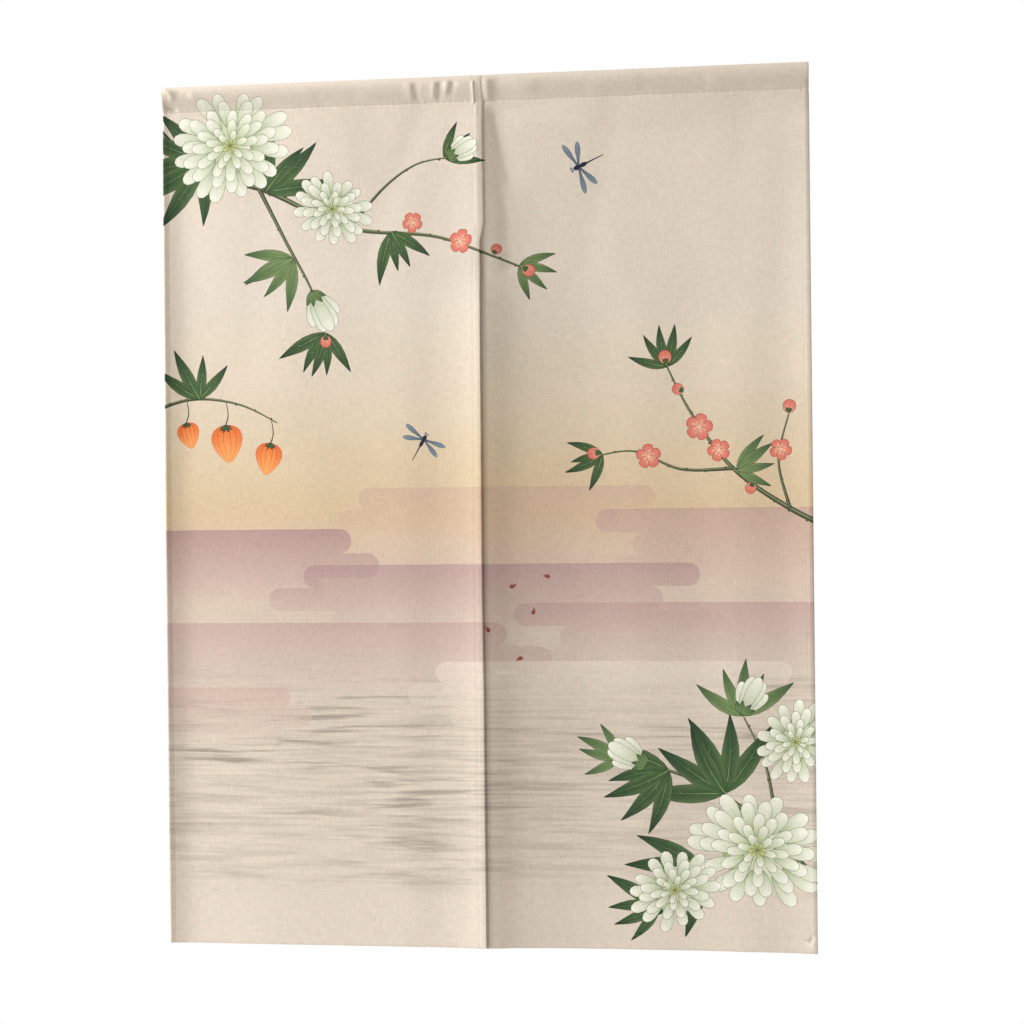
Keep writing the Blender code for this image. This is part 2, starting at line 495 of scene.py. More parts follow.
LEFT = Panel(
    "left_cloth",
    "left_panel",
    -1,
    1.6,
    (
        Fold("outer edge", -0.450, -0.450, 0.0066),
        Fold("edge trough", -0.412, -0.405, 0.0048),
        Fold("wide crest", -0.300, -0.270, 0.0054),
        Fold("middle trough", -0.190, -0.155, 0.0044),
        Fold("inner crest", -0.118, -0.100, 0.0050),
        Fold("seam trough", -0.062, -0.060, 0.0046),
    ),
    (
        Crease("edge roll", (-0.4475, -0.080), (-0.4475, -1.200), 0.0170, 0.0016, fade=0.022),
        Crease("lifted edge", (0.0300, -0.340), (0.0300, -1.200), 0.0400, 0.0032, fade=0.090),
        Crease("bright edge", (0.0200, -0.330), (0.0200, -1.200), 0.0160, 0.0019, fade=0.070),
        Crease("lap drawn down", (0.0085, -0.040), (0.0085, -0.200), 0.0100, -0.0006, fade=0.020),
        Crease("soft ridge", (-0.1950, -0.050), (-0.1900, -0.120), 0.1200, 0.0012, 0.0350, 0.030),
        Crease("edge drawn back", (-0.4500, -0.030), (-0.4500, -1.200), 0.0055, 0.0013, fade=0.010),
        Crease("pocket end", (-0.4500, -0.012), (-0.4500, -0.024), 0.0120, 0.0010, fade=0.006),
        Crease("corner fold", (-0.4415, -0.003), (-0.4345, -0.0135), 0.0042, 0.0011),
        Crease("corner pinch", (-0.4430, -0.0270), (-0.4330, -0.0310), 0.0036, -0.0017),
        Crease("corner pull", (-0.4240, -0.0080), (-0.4120, -0.0105), 0.0050, -0.0007),
        Crease("pocket pucker, lit side", (-0.0925, -0.012), (-0.0905, -0.026), 0.0060, 0.0007),
        Crease("pocket pucker, dark side", (-0.0845, -0.012), (-0.0830, -0.027), 0.0055, -0.0008),
        Crease("pocket pucker, lit side", (-0.0575, -0.011), (-0.0590, -0.027), 0.0050, 0.0008),
        Crease("pocket pucker, dark side", (-0.0495, -0.011), (-0.0520, -0.028), 0.0050, -0.0010),
        Crease("pocket pucker, lit side", (-0.0385, -0.010), (-0.0410, -0.020), 0.0040, 0.0007),
        Crease("pocket pucker, dark side", (-0.0310, -0.010), (-0.0345, -0.021), 0.0045, -0.0009),
        Crease("pocket swell", (-0.2200, -0.020), (-0.1700, -0.021), 0.0110, -0.0006),
        Crease("pocket swell", (-0.3900, -0.018), (-0.3300, -0.021), 0.0100, -0.0005),
        Crease("hem ridge", (-0.0035, -0.010), (-0.0035, -0.036), 0.0018, 0.0008),
        Crease("seam ridge", (0.0004, -0.042), (0.0004, -0.205), 0.0030, 0.00045),
        Crease("rise to the seam", (0.0115, -0.060), (0.0115, -0.225), 0.0300, 0.0015, 0.0200, 0.020),
        Crease("soft pull", (-0.0750, -0.045), (-0.1500, -0.230), 0.0200, -0.0006),
        Crease("soft pull", (-0.2900, -0.050), (-0.3250, -0.380), 0.0260, -0.0005),
    ),
)
RIGHT = Panel(
    "right_cloth",
    "right_panel",
    1,
    2.2,
    (
        Fold("outer edge", 0.450, 0.450, -0.0038),
        Fold("edge trough", 0.412, 0.402, -0.0054),
        Fold("flat crest", 0.370, 0.358, -0.0050),
        Fold("deep trough", 0.290, 0.305, -0.0057),
        Fold("foot of the seam slope", 0.072, 0.205, -0.0036),
    ),
    (
        Crease("edge roll", (0.4620, -0.080), (0.4620, -1.200), 0.0300, 0.0020, fade=0.022),
        Crease("edge rise", (0.4620, -0.100), (0.4620, -1.200), 0.1200, 0.0030, fade=0.030),
        Crease("edge drawn back", (0.4500, -0.030), (0.4500, -1.200), 0.0035, -0.00065, fade=0.010),
        Crease("lifted by the lap", (0.0050, -0.340), (0.0050, -1.200), 0.0080, 0.0054, 0.0345, 0.080),
        Crease("tuck beside the lap", (0.0097, -0.240), (0.0097, -1.200), 0.0013, -0.0030, fade=0.020),
        Crease("seam hollow", (0.1500, -0.100), (0.1550, -1.200), 0.0900, -0.0034, 0.1600, 0.030),
        Crease("pocket edge, lit side", (0.0160, -0.010), (0.0165, -0.030), 0.0050, 0.0008),
        Crease("pocket edge, dark side", (0.0310, -0.012), (0.0300, -0.029), 0.0090, -0.0013, 0.0240),
        Crease("pocket swell", (0.0900, -0.020), (0.1500, -0.021), 0.0110, -0.0007),
        Crease("pocket swell", (0.2300, -0.019), (0.3100, -0.020), 0.0100, -0.0006),
        Crease("seam ridge", (0.0132, -0.040), (0.0132, -0.215), 0.0016, 0.00014),
        Crease("rise to the seam", (0.0040, -0.060), (0.0040, -0.225), 0.0240, 0.0013, 0.0200, 0.020),
        Crease("sharp side of the pull", (0.0270, -0.065), (0.0425, -0.140), 0.0055, -0.0007, 0.0160, 0.020),
        Crease("lit side of the tuck", (0.0105, -0.250), (0.0105, -1.200), 0.0020, -0.0006, 0.0090, 0.020),
        Crease("seam pull", (0.0280, -0.054), (0.0500, -0.260), 0.0145, -0.0021, 0.0700, 0.012),
        Crease("soft pull", (0.1900, -0.045), (0.1500, -0.260), 0.0220, -0.0005),
        Crease("soft pull", (0.3700, -0.050), (0.3500, -0.330), 0.0240, -0.0004),
        Crease("corner dimple", (0.4430, -1.1800), (0.4370, -1.1890), 0.0030, -0.0009),
    ),
)


class Form(Enum):
    """Outlines that a printed blade can have, by its half width along its length."""

    LEAF = "leaf"
    PETAL = "petal"
    ROUND = "round"
    SPOON = "spoon"
    POD = "pod"
    HAIR = "hair"

    def half_width(self, t: Array) -> Array:
        """Half width along the blade, as a share of its widest.

        Args:
            t: places along the blade, from 0 at its root to 1 at its tip.

        Returns:
            The half widths, from 0 to 1.
        """
        if self is Form.LEAF:
            return np.sin(math.pi * t**0.78) ** 1.05
        if self is Form.PETAL:
            return np.sqrt(np.clip(t * 1.15, 0, 1)) * np.sqrt(np.clip(1 - t**4.5, 0, 1))
        if self is Form.SPOON:
            return (0.34 + 0.66 * ease((t - 0.2) / 0.55)) * np.sqrt(np.clip(1 - t**5, 0, 1))
        if self is Form.POD:
            return np.sin(math.pi * t**0.66) ** 0.72
        if self is Form.ROUND:
            return np.sqrt(np.clip(1 - (2 * t - 1) ** 2, 0, 1))
        return 1 - 0.65 * t


@dataclass(frozen=True)
class Ink:
    """Printed colour of a shape: it runs from the root to the tip, and changes towards the sides.

    Args:
        root: colour at the root.
        tip: colour at the tip.
        side: colour at both sides.
        side_share: how much of the side's colour shows at the very side.
        cover: how well it covers what is printed under it, at the root and the tip.
        run: over 1, the root's colour reaches further up.
    """

    root: Colour
    tip: Colour
    side: Colour = (0.0, 0.0, 0.0)
    side_share: float = 0.0
    cover: tuple[float, float] = (1.0, 1.0)
    run: float = 1.0

    def over(self, under: Array, along: Array, across: Array) -> Array:
        """Colours with this ink on top.

        Args:
            under: the colours that are there.
            along: places from 0 at the root to 1 at the tip.
            across: places from the middle, 1 at the side.

        Returns:
            The new colours, one row each.
        """
        share = (np.clip(along, 0, 1) ** self.run)[:, None]
        tint = np.array(self.root) * (1 - share) + np.array(self.tip) * share
        sideways = self.side_share * np.clip(np.abs(across), 0, 1)[:, None] ** 2
        tint = tint + (np.array(self.side) - tint) * sideways
        cover = self.cover[0] + (self.cover[1] - self.cover[0]) * np.clip(along, 0, 1)[:, None]
        return under + (tint - under) * cover


@dataclass(frozen=True)
class Shape:
    """A closed printed shape with its ink. Its root, angle, length, width and bend say how the ink runs."""

    outline: Array
    ink: Ink
    root: Place
    angle: float
    length: float
    half_width: float
    bend: float = 0.0

    def over(self, under: Array, places: Array) -> Array:
        """Colours at these places with this shape printed on top.

        Args:
            under: the colours that are there.
            places: their places on the cloth.

        Returns:
            The new colours, one row each.
        """
        c, s = math.cos(self.angle), math.sin(self.angle)
        x, z = places[:, 0] - self.root[0], places[:, 1] - self.root[1]
        along = (x * c + z * s) / self.length
        across = (z * c - x * s - self.bend * self.length * along**2) / self.half_width
        return self.ink.over(under, along, across)


def blade(
    form: Form,
    ink: Ink,
    root: Place,
    angle: float,
    length: float,
    width: float,
    bend: float = 0.0,
    line: float = 0.0,
    corners: int = 10,
) -> Shape:
    """A printed shape about a bent middle line.

    Args:
        form: how its width runs.
        ink: its colours.
        root: where it starts.
        angle: which way it points, in radians from the right.
        length: from root to tip.
        width: across its widest.
        bend: how far its tip leans aside, as a share of its length.
        line: how far it is grown on all sides, for a drawn line under it.
        corners: corners along each side.

    Returns:
        The blade as one shape.
    """
    t = (1 - np.cos(np.linspace(0, math.pi, corners))) / 2
    c, s = math.cos(angle), math.sin(angle)
    along = t * (length + 2 * line) - line
    aside = bend * length * np.clip(along / length, 0, 1.2) ** 2
    lean = np.arctan(2 * bend * t)
    half = form.half_width(t) * width / 2 + line
    half[-1] = 0.0 if form is not Form.HAIR else half[-1]
    half[0] = half[0] if form in (Form.HAIR, Form.SPOON) else line * 0.4
    upper = np.stack([along - half * np.sin(lean), aside + half * np.cos(lean)], axis=1)
    lower = np.stack([along + half * np.sin(lean), aside - half * np.cos(lean)], axis=1)
    lower = lower[1:-1] if form is not Form.HAIR else lower
    local = np.concatenate([upper, lower[::-1]])
    x = root[0] + local[:, 0] * c - local[:, 1] * s
    z = root[1] + local[:, 0] * s + local[:, 1] * c
    return Shape(np.stack([x, z], axis=1), ink, root, angle, length, max(width / 2, 1e-4), bend)


def lined(
    form: Form,
    ink: Ink,
    line_ink: Ink,
    root: Place,
    angle: float,
    length: float,
    width: float,
    bend: float = 0.0,
    line: float = 0.00045,
    corners: int = 10,
) -> list[Shape]:
    """A blade with a drawn line round it: the line's shape, then the blade's.

    Args:
        form, ink, root, angle, length, width, bend, corners: as for a blade.
        line_ink: the line's colours.
        line: how wide the line is.

    Returns:
        The line's shape and the blade's.
    """
    under = blade(form, line_ink, root, angle, length, width, bend, line, corners)
    return [under, blade(form, ink, root, angle, length, width, bend, 0.0, corners)]


def smooth_path(points: Sequence[Place], spacing: float) -> Array:
    """A smooth curve through a few points, with corners about a spacing apart.

    Args:
        points: places that it runs through.
        spacing: wanted distance between corners.

    Returns:
        The curve's corners, ends included.
    """
    p = np.array([points[0], *points, points[-1]], float)
    found = []
    for a, b, c, d in zip(p, p[1:], p[2:], p[3:]):
        count = max(2, round(math.dist(b, c) / spacing))
        t = (np.arange(count) / count)[:, None]
        curve = 2 * b + (c - a) * t + (2 * a - 5 * b + 4 * c - d) * t**2
        found.append(0.5 * (curve + (3 * b - a - 3 * c + d) * t**3))
    return np.concatenate([*found, p[-1:]])


def ribbon(points: Sequence[Place], widths: Place, ink: Ink, spacing: float = 0.008) -> Shape:
    """A stroke along a smooth curve, with its width at either end.

    Args:
        points: places that it runs through.
        widths: its width at the start and the end.
        ink: its colours.
        spacing: wanted distance between corners.

    Returns:
        The stroke as one shape.
    """
    path = smooth_path(points, spacing)
    way = np.gradient(path, axis=0)
    way /= np.linalg.norm(way, axis=1, keepdims=True)
    aside = np.stack([-way[:, 1], way[:, 0]], axis=1)
    half = np.linspace(widths[0], widths[1], len(path))[:, None] / 2
    half[-1] *= 0.4
    outline = np.concatenate([path + aside * half, (path - aside * half)[::-1]])
    chord = path[-1] - path[0]
    angle = math.atan2(chord[1], chord[0])
    return Shape(outline, ink, tuple(path[0]), angle, float(np.linalg.norm(chord)), max(widths) * 8)


class Inks:
    """The print's inks, by what they are for."""

    LINE = Ink(shade(72, 86, 60), shade(104, 110, 90))
    LEAF_LINE = Ink(shade(24, 40, 26), shade(30, 48, 32))
    LEAF = Ink(shade(66, 96, 56), shade(34, 60, 42), shade(110, 134, 84), 0.55)
    PALE_LEAF = Ink(shade(112, 136, 84), shade(60, 92, 58), shade(150, 168, 116), 0.5)
    RIB = Ink(shade(150, 172, 118), shade(88, 116, 74))
    STEM = Ink(shade(58, 66, 48), shade(88, 96, 66))
    STEM_LIGHT = Ink(shade(118, 128, 90), shade(140, 148, 108))
    WHITE = Ink(shade(140, 162, 106), shade(243, 242, 231), shade(192, 202, 168), 0.62, run=0.66)
    WHITE_INNER = Ink(shade(142, 164, 104), shade(240, 240, 226), shade(186, 198, 156), 0.55, run=0.75)
    VEIN = Ink(shade(150, 168, 118), shade(214, 218, 190))
    HEART = Ink(shade(136, 154, 86), shade(206, 208, 150), shade(112, 130, 72), 0.4)
    CORAL = Ink(shade(238, 176, 150), shade(218, 112, 98), shade(196, 86, 78), 0.5, run=0.8)
    CORAL_LINE = Ink(shade(134, 52, 46), shade(150, 66, 56))
    STAMEN = Ink(shade(248, 226, 186), shade(250, 232, 196))
    LANTERN = Ink(shade(226, 110, 48), shade(250, 178, 108), shade(214, 92, 40), 0.45)
    LANTERN_RIB = Ink(shade(188, 76, 34), shade(222, 118, 58))
    WING = Ink(shade(86, 104, 124), shade(150, 168, 182), shade(52, 66, 84), 0.5, (0.95, 0.8))
    NIGHT = Ink(shade(26, 32, 44), shade(38, 46, 62))
    DRIFT = Ink(shade(120, 58, 54), shade(176, 96, 86))


class Motif:
    """Something in the print that can list its shapes, from the lowest to the topmost."""

    def shapes(self, dice: random.Random) -> list[Shape]:
        """The motif's shapes, in the order in which they are printed.

        Args:
            dice: draws the small differences.

        Returns:
            The shapes, from the lowest to the topmost.
        """
        raise NotImplementedError


FINE_LINE = 0.0005  # of the small motifs' drawn lines
HAIR_LINE = 0.0004
FRONT_RINGS = 3  # rings of a flower that take the outer white


@dataclass(frozen=True)
class Leaf(Motif):
    """A lance leaf with a rib and two side veins."""

    VEINS = ((0.30, 1), (0.52, -1))  # share of the leaf's length, and which side
    VEIN_LEAN = 0.62

    root: Place
    angle: float
    length: float
    width: float
    bend: float = 0.15
    pale: bool = False

    def shapes(self, dice: random.Random) -> list[Shape]:
        """The leaf's line and body, its veins and its rib.

        Args:
            dice: not used.

        Returns:
            The shapes, from the lowest to the topmost.
        """
        angle = math.radians(self.angle)
        ink = Inks.PALE_LEAF if self.pale else Inks.LEAF
        rib = blade(Form.HAIR, Inks.RIB, self.root, angle, self.length * 0.86, 0.0009, self.bend, corners=7)
        found = lined(Form.LEAF, ink, Inks.LEAF_LINE, self.root, angle, self.length, self.width, self.bend)
        for share, way in self.VEINS:
            start = along_bend(self.root, angle, self.length * share, self.bend, share)
            lean = angle + way * self.VEIN_LEAN + 2 * self.bend * share
            found.append(blade(Form.HAIR, Inks.RIB, start, lean, self.width * 0.44, HAIR_LINE, corners=3))
        return [*found, rib]


def along_bend(root: Place, angle: float, run: float, bend: float = 0.0, share: float = 1.0) -> Place:
    """The place on a bent middle line, at a run from its root.

    Args:
        root: where the line starts.
        angle: which way it points, in radians.
        run: how far along it.
        bend: how far its tip leans aside, as a share of its length.
        share: the run as a share of its length.

    Returns:
        The place.
    """
    aside = bend * run * share
    c, s = math.cos(angle), math.sin(angle)
    return root[0] + run * c - aside * s, root[1] + run * s + aside * c


@dataclass(frozen=True)
class LeafSpray(Motif):
    """Leaves that fan out from one place."""

    SLENDER = 0.23
    LENGTHS = (0.78, 1.08)
    TURNS = (-7, 7)
    BENDS = (0.05, 0.2)

    root: Place
    angle: float
    count: int
    length: float
    spread: float = 130.0
    pale: bool = False

    def shapes(self, dice: random.Random) -> list[Shape]:
        """The leaves, from the outer ones inwards.

        Args:
            dice: draws the small differences.

        Returns:
            The shapes, from the lowest to the topmost.
        """
        turns = np.linspace(-self.spread / 2, self.spread / 2, self.count)
        found: list[Shape] = []
        for turn in sorted(turns, key=abs, reverse=True):
            length = self.length * dice.uniform(*self.LENGTHS)
            angle = self.angle + turn + dice.uniform(*self.TURNS)
            bend = dice.uniform(*self.BENDS) * (1 if turn < 0 else -1)
            found += Leaf(self.root, angle, length, length * self.SLENDER, bend, self.pale).shapes(dice)
        return found


@dataclass(frozen=True)
class Ring:
    """One ring of petals: how many, how long as a share of the flower, and how wide for their length."""

    count: int
    reach: float
    slender: float
    start: float


FULL_RINGS = (
    Ring(16, 1.00, 0.27, 0.44),
    Ring(14, 0.82, 0.30, 0.34),
    Ring(12, 0.63, 0.33, 0.22),
    Ring(9, 0.45, 0.38, 0.12),
    Ring(6, 0.29, 0.46, 0.04),
)
SMALL_RINGS = (
    Ring(14, 1.00, 0.30, 0.40),
    Ring(12, 0.77, 0.34, 0.28),
    Ring(9, 0.54, 0.38, 0.15),
    Ring(6, 0.34, 0.44, 0.05),
)
HEART_RING = Ring(8, 0.13, 0.5, 0.0)


@dataclass(frozen=True)
class Chrysanthemum(Motif):
    """A full white flower seen a little from one side, with rings of petals round a green heart."""

    centre: Place
    radius: float
    tilt: float = 0.0
    squash: float = 0.82
    rings: tuple[Ring, ...] = FULL_RINGS

    def shapes(self, dice: random.Random) -> list[Shape]:
        """The petals from the outer ring to the inner one, then the heart.

        Args:
            dice: draws the small differences.

        Returns:
            The shapes, from the lowest to the topmost.
        """
        found: list[Shape] = [dot(self.centre, self.radius * 0.5, Inks.WHITE_INNER, 12)]
        for number, ring in enumerate(self.rings):
            ink = Inks.WHITE if number < FRONT_RINGS else Inks.WHITE_INNER
            offset = dice.uniform(0, 360)
            for petal in dice.sample(range(ring.count), ring.count):
                turn = math.radians(offset + 360 * petal / ring.count + dice.uniform(-5, 5))
                found += self.petal(ink, turn, ring, dice)
        for turn in range(20, 380, 360 // HEART_RING.count):
            found += self.petal(Inks.HEART, math.radians(turn), HEART_RING, dice)
        return found

    def petal(self, ink: Ink, turn: float, ring: Ring, dice: random.Random) -> list[Shape]:
        """One petal with its line, foreshortened by the flower's tilt.

        Args:
            ink: its colours.
            turn: which way it points, in radians.
            ring: the ring that it is in.
            dice: draws the small differences.

        Returns:
            The shapes, from the lowest to the topmost.
        """
        tilt = math.radians(self.tilt)
        x, z = math.cos(turn), math.sin(turn) * self.squash
        way = (x * math.cos(tilt) - z * math.sin(tilt), x * math.sin(tilt) + z * math.cos(tilt))
        short = math.hypot(*way)
        reach = self.radius * ring.reach * dice.uniform(0.93, 1.05)
        start = self.radius * ring.start
        root = (self.centre[0] + way[0] * start, self.centre[1] + way[1] * start)
        length = (reach - start) * short
        width = reach * ring.slender
        bend = dice.uniform(-0.10, 0.10)
        angle = math.atan2(way[1], way[0])
        found = lined(Form.PETAL, ink, Inks.LINE, root, angle, length, width, bend, corners=8)
        if ink is Inks.HEART:
            return found
        vein = blade(Form.HAIR, Inks.VEIN, root, angle, length * 0.72, width * 0.07, bend, corners=3)
        return [*found, vein]


@dataclass(frozen=True)
class FlowerBud(Motif):
    """A half-open white bud with a green cup."""

    PETALS = (  # turn in degrees, then length and width as shares of the bud's length
        (34, 0.78, 0.30),
        (-34, 0.78, 0.30),
        (18, 0.94, 0.34),
        (-18, 0.94, 0.34),
        (0, 1.0, 0.38),
    )
    PETAL_BEND = 0.16
    CUP = (46, -46, 20, -20)

    root: Place
    angle: float
    length: float

    def shapes(self, dice: random.Random) -> list[Shape]:
        """Petals behind, petals in front, then the cup.

        Args:
            dice: not used.

        Returns:
            The shapes, from the lowest to the topmost.
        """
        found: list[Shape] = []
        for turn, share, slender in self.PETALS:
            angle = math.radians(self.angle + turn)
            bend = -math.copysign(self.PETAL_BEND, turn) if turn else 0.0
            length, width = self.length * share, self.length * slender
            found += lined(Form.PETAL, Inks.WHITE, Inks.LINE, self.root, angle, length, width, bend)
        length, width = self.length * 0.34, self.length * 0.14
        for turn in self.CUP:
            angle = math.radians(self.angle + turn)
            found += lined(Form.LEAF, Inks.PALE_LEAF, Inks.LEAF_LINE, self.root, angle, length, width)
        return found


@dataclass(frozen=True)
class PlumBlossom(Motif):
    """A small coral flower of five round petals."""

    PETALS = 5
    STAMENS = 8
    STAMEN_DOT = 0.0008

    centre: Place
    radius: float
    turn: float = 0.0

    def shapes(self, dice: random.Random) -> list[Shape]:
        """Petals, then the stamens with their dots.

        Args:
            dice: not used.

        Returns:
            The shapes, from the lowest to the topmost.
        """
        found: list[Shape] = []
        inks, width = (Inks.CORAL, Inks.CORAL_LINE), self.radius * 1.02
        for petal in range(self.PETALS):
            angle = math.radians(self.turn + petal * 360 / self.PETALS)
            found += lined(Form.PETAL, *inks, self.centre, angle, self.radius, width, line=FINE_LINE)
        for hair in range(self.STAMENS):
            angle = math.radians(self.turn + hair * 360 / self.STAMENS + 12)
            reach = self.radius * (0.50 if hair % 2 else 0.38)
            found.append(blade(Form.HAIR, Inks.STAMEN, self.centre, angle, reach, FINE_LINE, corners=3))
            found.append(dot(along_bend(self.centre, angle, reach), self.STAMEN_DOT, Inks.STAMEN))
        return found


def dot(centre: Place, radius: float, ink: Ink, corners: int = 6) -> Shape:
    """A round dot.

    Args:
        centre: its middle.
        radius: its radius.
        ink: its colours.
        corners: corners along each half.

    Returns:
        The dot as one shape.
    """
    root = (centre[0] - radius, centre[1])
    return blade(Form.ROUND, ink, root, 0.0, radius * 2, radius * 2, corners=corners)


@dataclass(frozen=True)
class PlumBud(Motif):
    """A round coral bud in a dark cup."""

    CUP = (-0.55, 0.0, 0.55)

    centre: Place
    radius: float
    angle: float = 90.0

    def shapes(self, dice: random.Random) -> list[Shape]:
        """The bud with its line, a fold in it, and the cup under it.

        Args:
            dice: not used.

        Returns:
            The shapes, from the lowest to the topmost.
        """
        angle, size = math.radians(self.angle), self.radius
        root = along_bend(self.centre, angle, -size)
        inks = (Inks.CORAL, Inks.CORAL_LINE)
        found = lined(Form.ROUND, *inks, root, angle, size * 2, size * 1.9, line=FINE_LINE)
        fold = (angle - 0.5, size * 0.8, FINE_LINE, 0.3)
        found.append(blade(Form.HAIR, Inks.CORAL_LINE, self.centre, *fold, corners=4))
        for turn in self.CUP:
            found.append(blade(Form.LEAF, Inks.LEAF, root, angle + turn, size * 0.9, size * 0.5))
        return found


@dataclass(frozen=True)
class Branch(Motif):
    """A woody stem through a few places, with a lit side and small knots."""

    SPACING = 0.008
    KNOT_EVERY = 3
    KNOT_SIZES = (0.0008, 0.0019)

    points: tuple[Place, ...]
    widths: Place

    def shapes(self, dice: random.Random) -> list[Shape]:
        """The stem, its lit side and its knots.

        Args:
            dice: draws the small differences.

        Returns:
            The shapes, from the lowest to the topmost.
        """
        first, last = self.widths
        path = smooth_path(self.points, self.SPACING)
        lit = [(x - first * 0.16, z + first * 0.16) for x, z in self.points]
        found = [
            ribbon(self.points, self.widths, Inks.STEM),
            ribbon(lit, (first * 0.32, last * 0.3), Inks.STEM_LIGHT),
        ]
        for number in range(2, len(path), self.KNOT_EVERY):
            size = dice.uniform(*self.KNOT_SIZES)
            local = first + (last - first) * number / len(path)
            aside = dice.choice((-1, 1)) * local * 0.4
            found.append(dot((path[number, 0] + aside * 0.6, path[number, 1] + aside), size, Inks.STEM))
        return found


@dataclass(frozen=True)
class LanternPod(Motif):
    """An orange paper-like seed pod that hangs from a short stalk."""

    RIBS = (-0.62, -0.24, 0.24, 0.62)  # as shares of the pod's half width
    LEAVES = (-0.9, -0.4, 0.4, 0.9)
    STALK = ((0.0, 0.0), (0.004, 0.014), (0.001, 0.034))
    STALK_WIDTHS = (0.0018, 0.0012)
    LINE = 0.0006

    top: Place
    length: float
    lean: float = 0.0

    def shapes(self, dice: random.Random) -> list[Shape]:
        """The pod, its ribs and its stalk.

        Args:
            dice: not used.

        Returns:
            The shapes, from the lowest to the topmost.
        """
        angle = math.radians(-90 + self.lean)
        size = (self.length, self.length * 0.86)
        inks = (Inks.LANTERN, Inks.LANTERN_RIB)
        found = lined(Form.POD, *inks, self.top, angle, *size, line=self.LINE, corners=14)
        for bulge in self.RIBS:
            found.append(self.rib(angle, size[1] * bulge / 2))
        stalk = [(self.top[0] + x, self.top[1] + z) for x, z in self.STALK]
        found.append(ribbon(stalk, self.STALK_WIDTHS, Inks.STEM, 0.005))
        size = (self.length * 0.2, self.length * 0.09)
        for turn in self.LEAVES:
            found += lined(Form.LEAF, Inks.LEAF, Inks.LEAF_LINE, self.top, angle + turn, *size)
        return found

    def rib(self, angle: float, reach: float) -> Shape:
        """One rib, bowed out from the pod's middle.

        Args:
            angle: which way the pod hangs, in radians.
            reach: how far out it bows.

        Returns:
            The rib as a thin stroke.
        """
        t = np.linspace(0.03, 0.97, 9)
        aside = reach * Form.POD.half_width(t)
        c, s = math.cos(angle), math.sin(angle)
        run = t * self.length
        points = [(self.top[0] + r * c - a * s, self.top[1] + r * s + a * c) for r, a in zip(run, aside)]
        return ribbon(points, (0.0010, 0.0006), Inks.LANTERN_RIB, 0.006)


@dataclass(frozen=True)
class Dragonfly(Motif):
    """A small blue-grey dragonfly."""

    WINGS = ((1.95, 0.66), (-1.95, 0.66), (1.38, 0.72), (-1.38, 0.72))  # turn, and share of the length
    WING_LINE = 0.0003

    centre: Place
    angle: float
    length: float

    def shapes(self, dice: random.Random) -> list[Shape]:
        """Wings, tail, body, head and eyes.

        Args:
            dice: not used.

        Returns:
            The shapes, from the lowest to the topmost.
        """
        found: list[Shape] = []
        ahead, size = math.radians(self.angle), self.length
        back = ahead + math.pi
        for turn, share in self.WINGS:
            wing, reach = (self.centre, ahead + turn), size * share
            found += lined(Form.SPOON, Inks.WING, Inks.NIGHT, *wing, reach, size * 0.15, line=self.WING_LINE)
            found.append(blade(Form.HAIR, Inks.NIGHT, *wing, reach * 0.9, HAIR_LINE, 0.05, corners=4))
        found.append(blade(Form.HAIR, Inks.NIGHT, self.centre, back, size * 0.72, size * 0.055))
        found.append(blade(Form.LEAF, Inks.NIGHT, self.centre, back, size * 0.30, size * 0.12))
        chest = along_bend(self.centre, ahead, -size * 0.05)
        found.append(blade(Form.ROUND, Inks.NIGHT, chest, ahead, size * 0.20, size * 0.13))
        head = along_bend(self.centre, ahead, size * 0.19)
        for way in (-1, 1):
            eye = along_bend(head, ahead + math.pi / 2, way * size * 0.035)
            found.append(dot(eye, size * 0.04, Inks.WING))
        return found


@dataclass(frozen=True)
class MistBank(Motif):
    """A bank of mist with stepped round ends, clear along its top and faded towards its foot.

    Args:
        left: its left end.
        right: its right end.
        top: its top edge.
        step: height of each of its steps.
        ends: how far each step's ends stop short, from the top down.
        colour: its colour.
        strength: how well it covers along its top.
    """

    left: float
    right: float
    top: float
    step: float
    ends: tuple[Place, ...]
    colour: Colour
    strength: float

    def shapes(self, dice: random.Random) -> list[Shape]:
        """One shape for the whole bank.

        Args:
            dice: not used.

        Returns:
            The bank.
        """
        radius = self.step / 2
        turn = np.linspace(math.pi / 2, -math.pi / 2, 11)
        right, left = [], []
        for number, (short_left, short_right) in enumerate(self.ends):
            middle = self.top - radius - number * self.step
            round_x, round_z = radius * np.cos(turn), middle + radius * np.sin(turn)
            right.append(np.stack([self.right - short_right - radius + round_x, round_z], axis=1))
            left.append(np.stack([self.left + short_left + radius - round_x, round_z], axis=1))
        outline = np.concatenate([*right, np.concatenate(left)[::-1]])
        low, high = outline[len(outline) // 2 - 1], outline[len(outline) // 2]
        foot = edge_points(tuple(low), tuple(high))
        top = edge_points(tuple(outline[-1]), tuple(outline[0]))
        half = len(outline) // 2
        outline = np.concatenate([outline[:half], foot, outline[half:], top])
        ink = Ink(self.colour, self.colour, cover=(self.strength, 0.0))
        height = self.step * len(self.ends)
        return [Shape(outline, ink, (self.left, self.top), -math.pi / 2, height, self.right - self.left)]


def edge_points(start: Place, end: Place, step: float = 0.012) -> Array:
    """Places between two ends, without the ends themselves.

    Args:
        start: one end.
        end: the other.
        step: wanted distance between places.

    Returns:
        The places, in order.
    """
    count = max(2, round(math.dist(start, end) / step))
    t = (np.arange(1, count) / count)[:, None]
    return np.array(start) * (1 - t) + np.array(end) * t


@dataclass(frozen=True)
class Wash:
    """The soft ground colour at one height of the cloth."""

    height: float
    colour: Colour


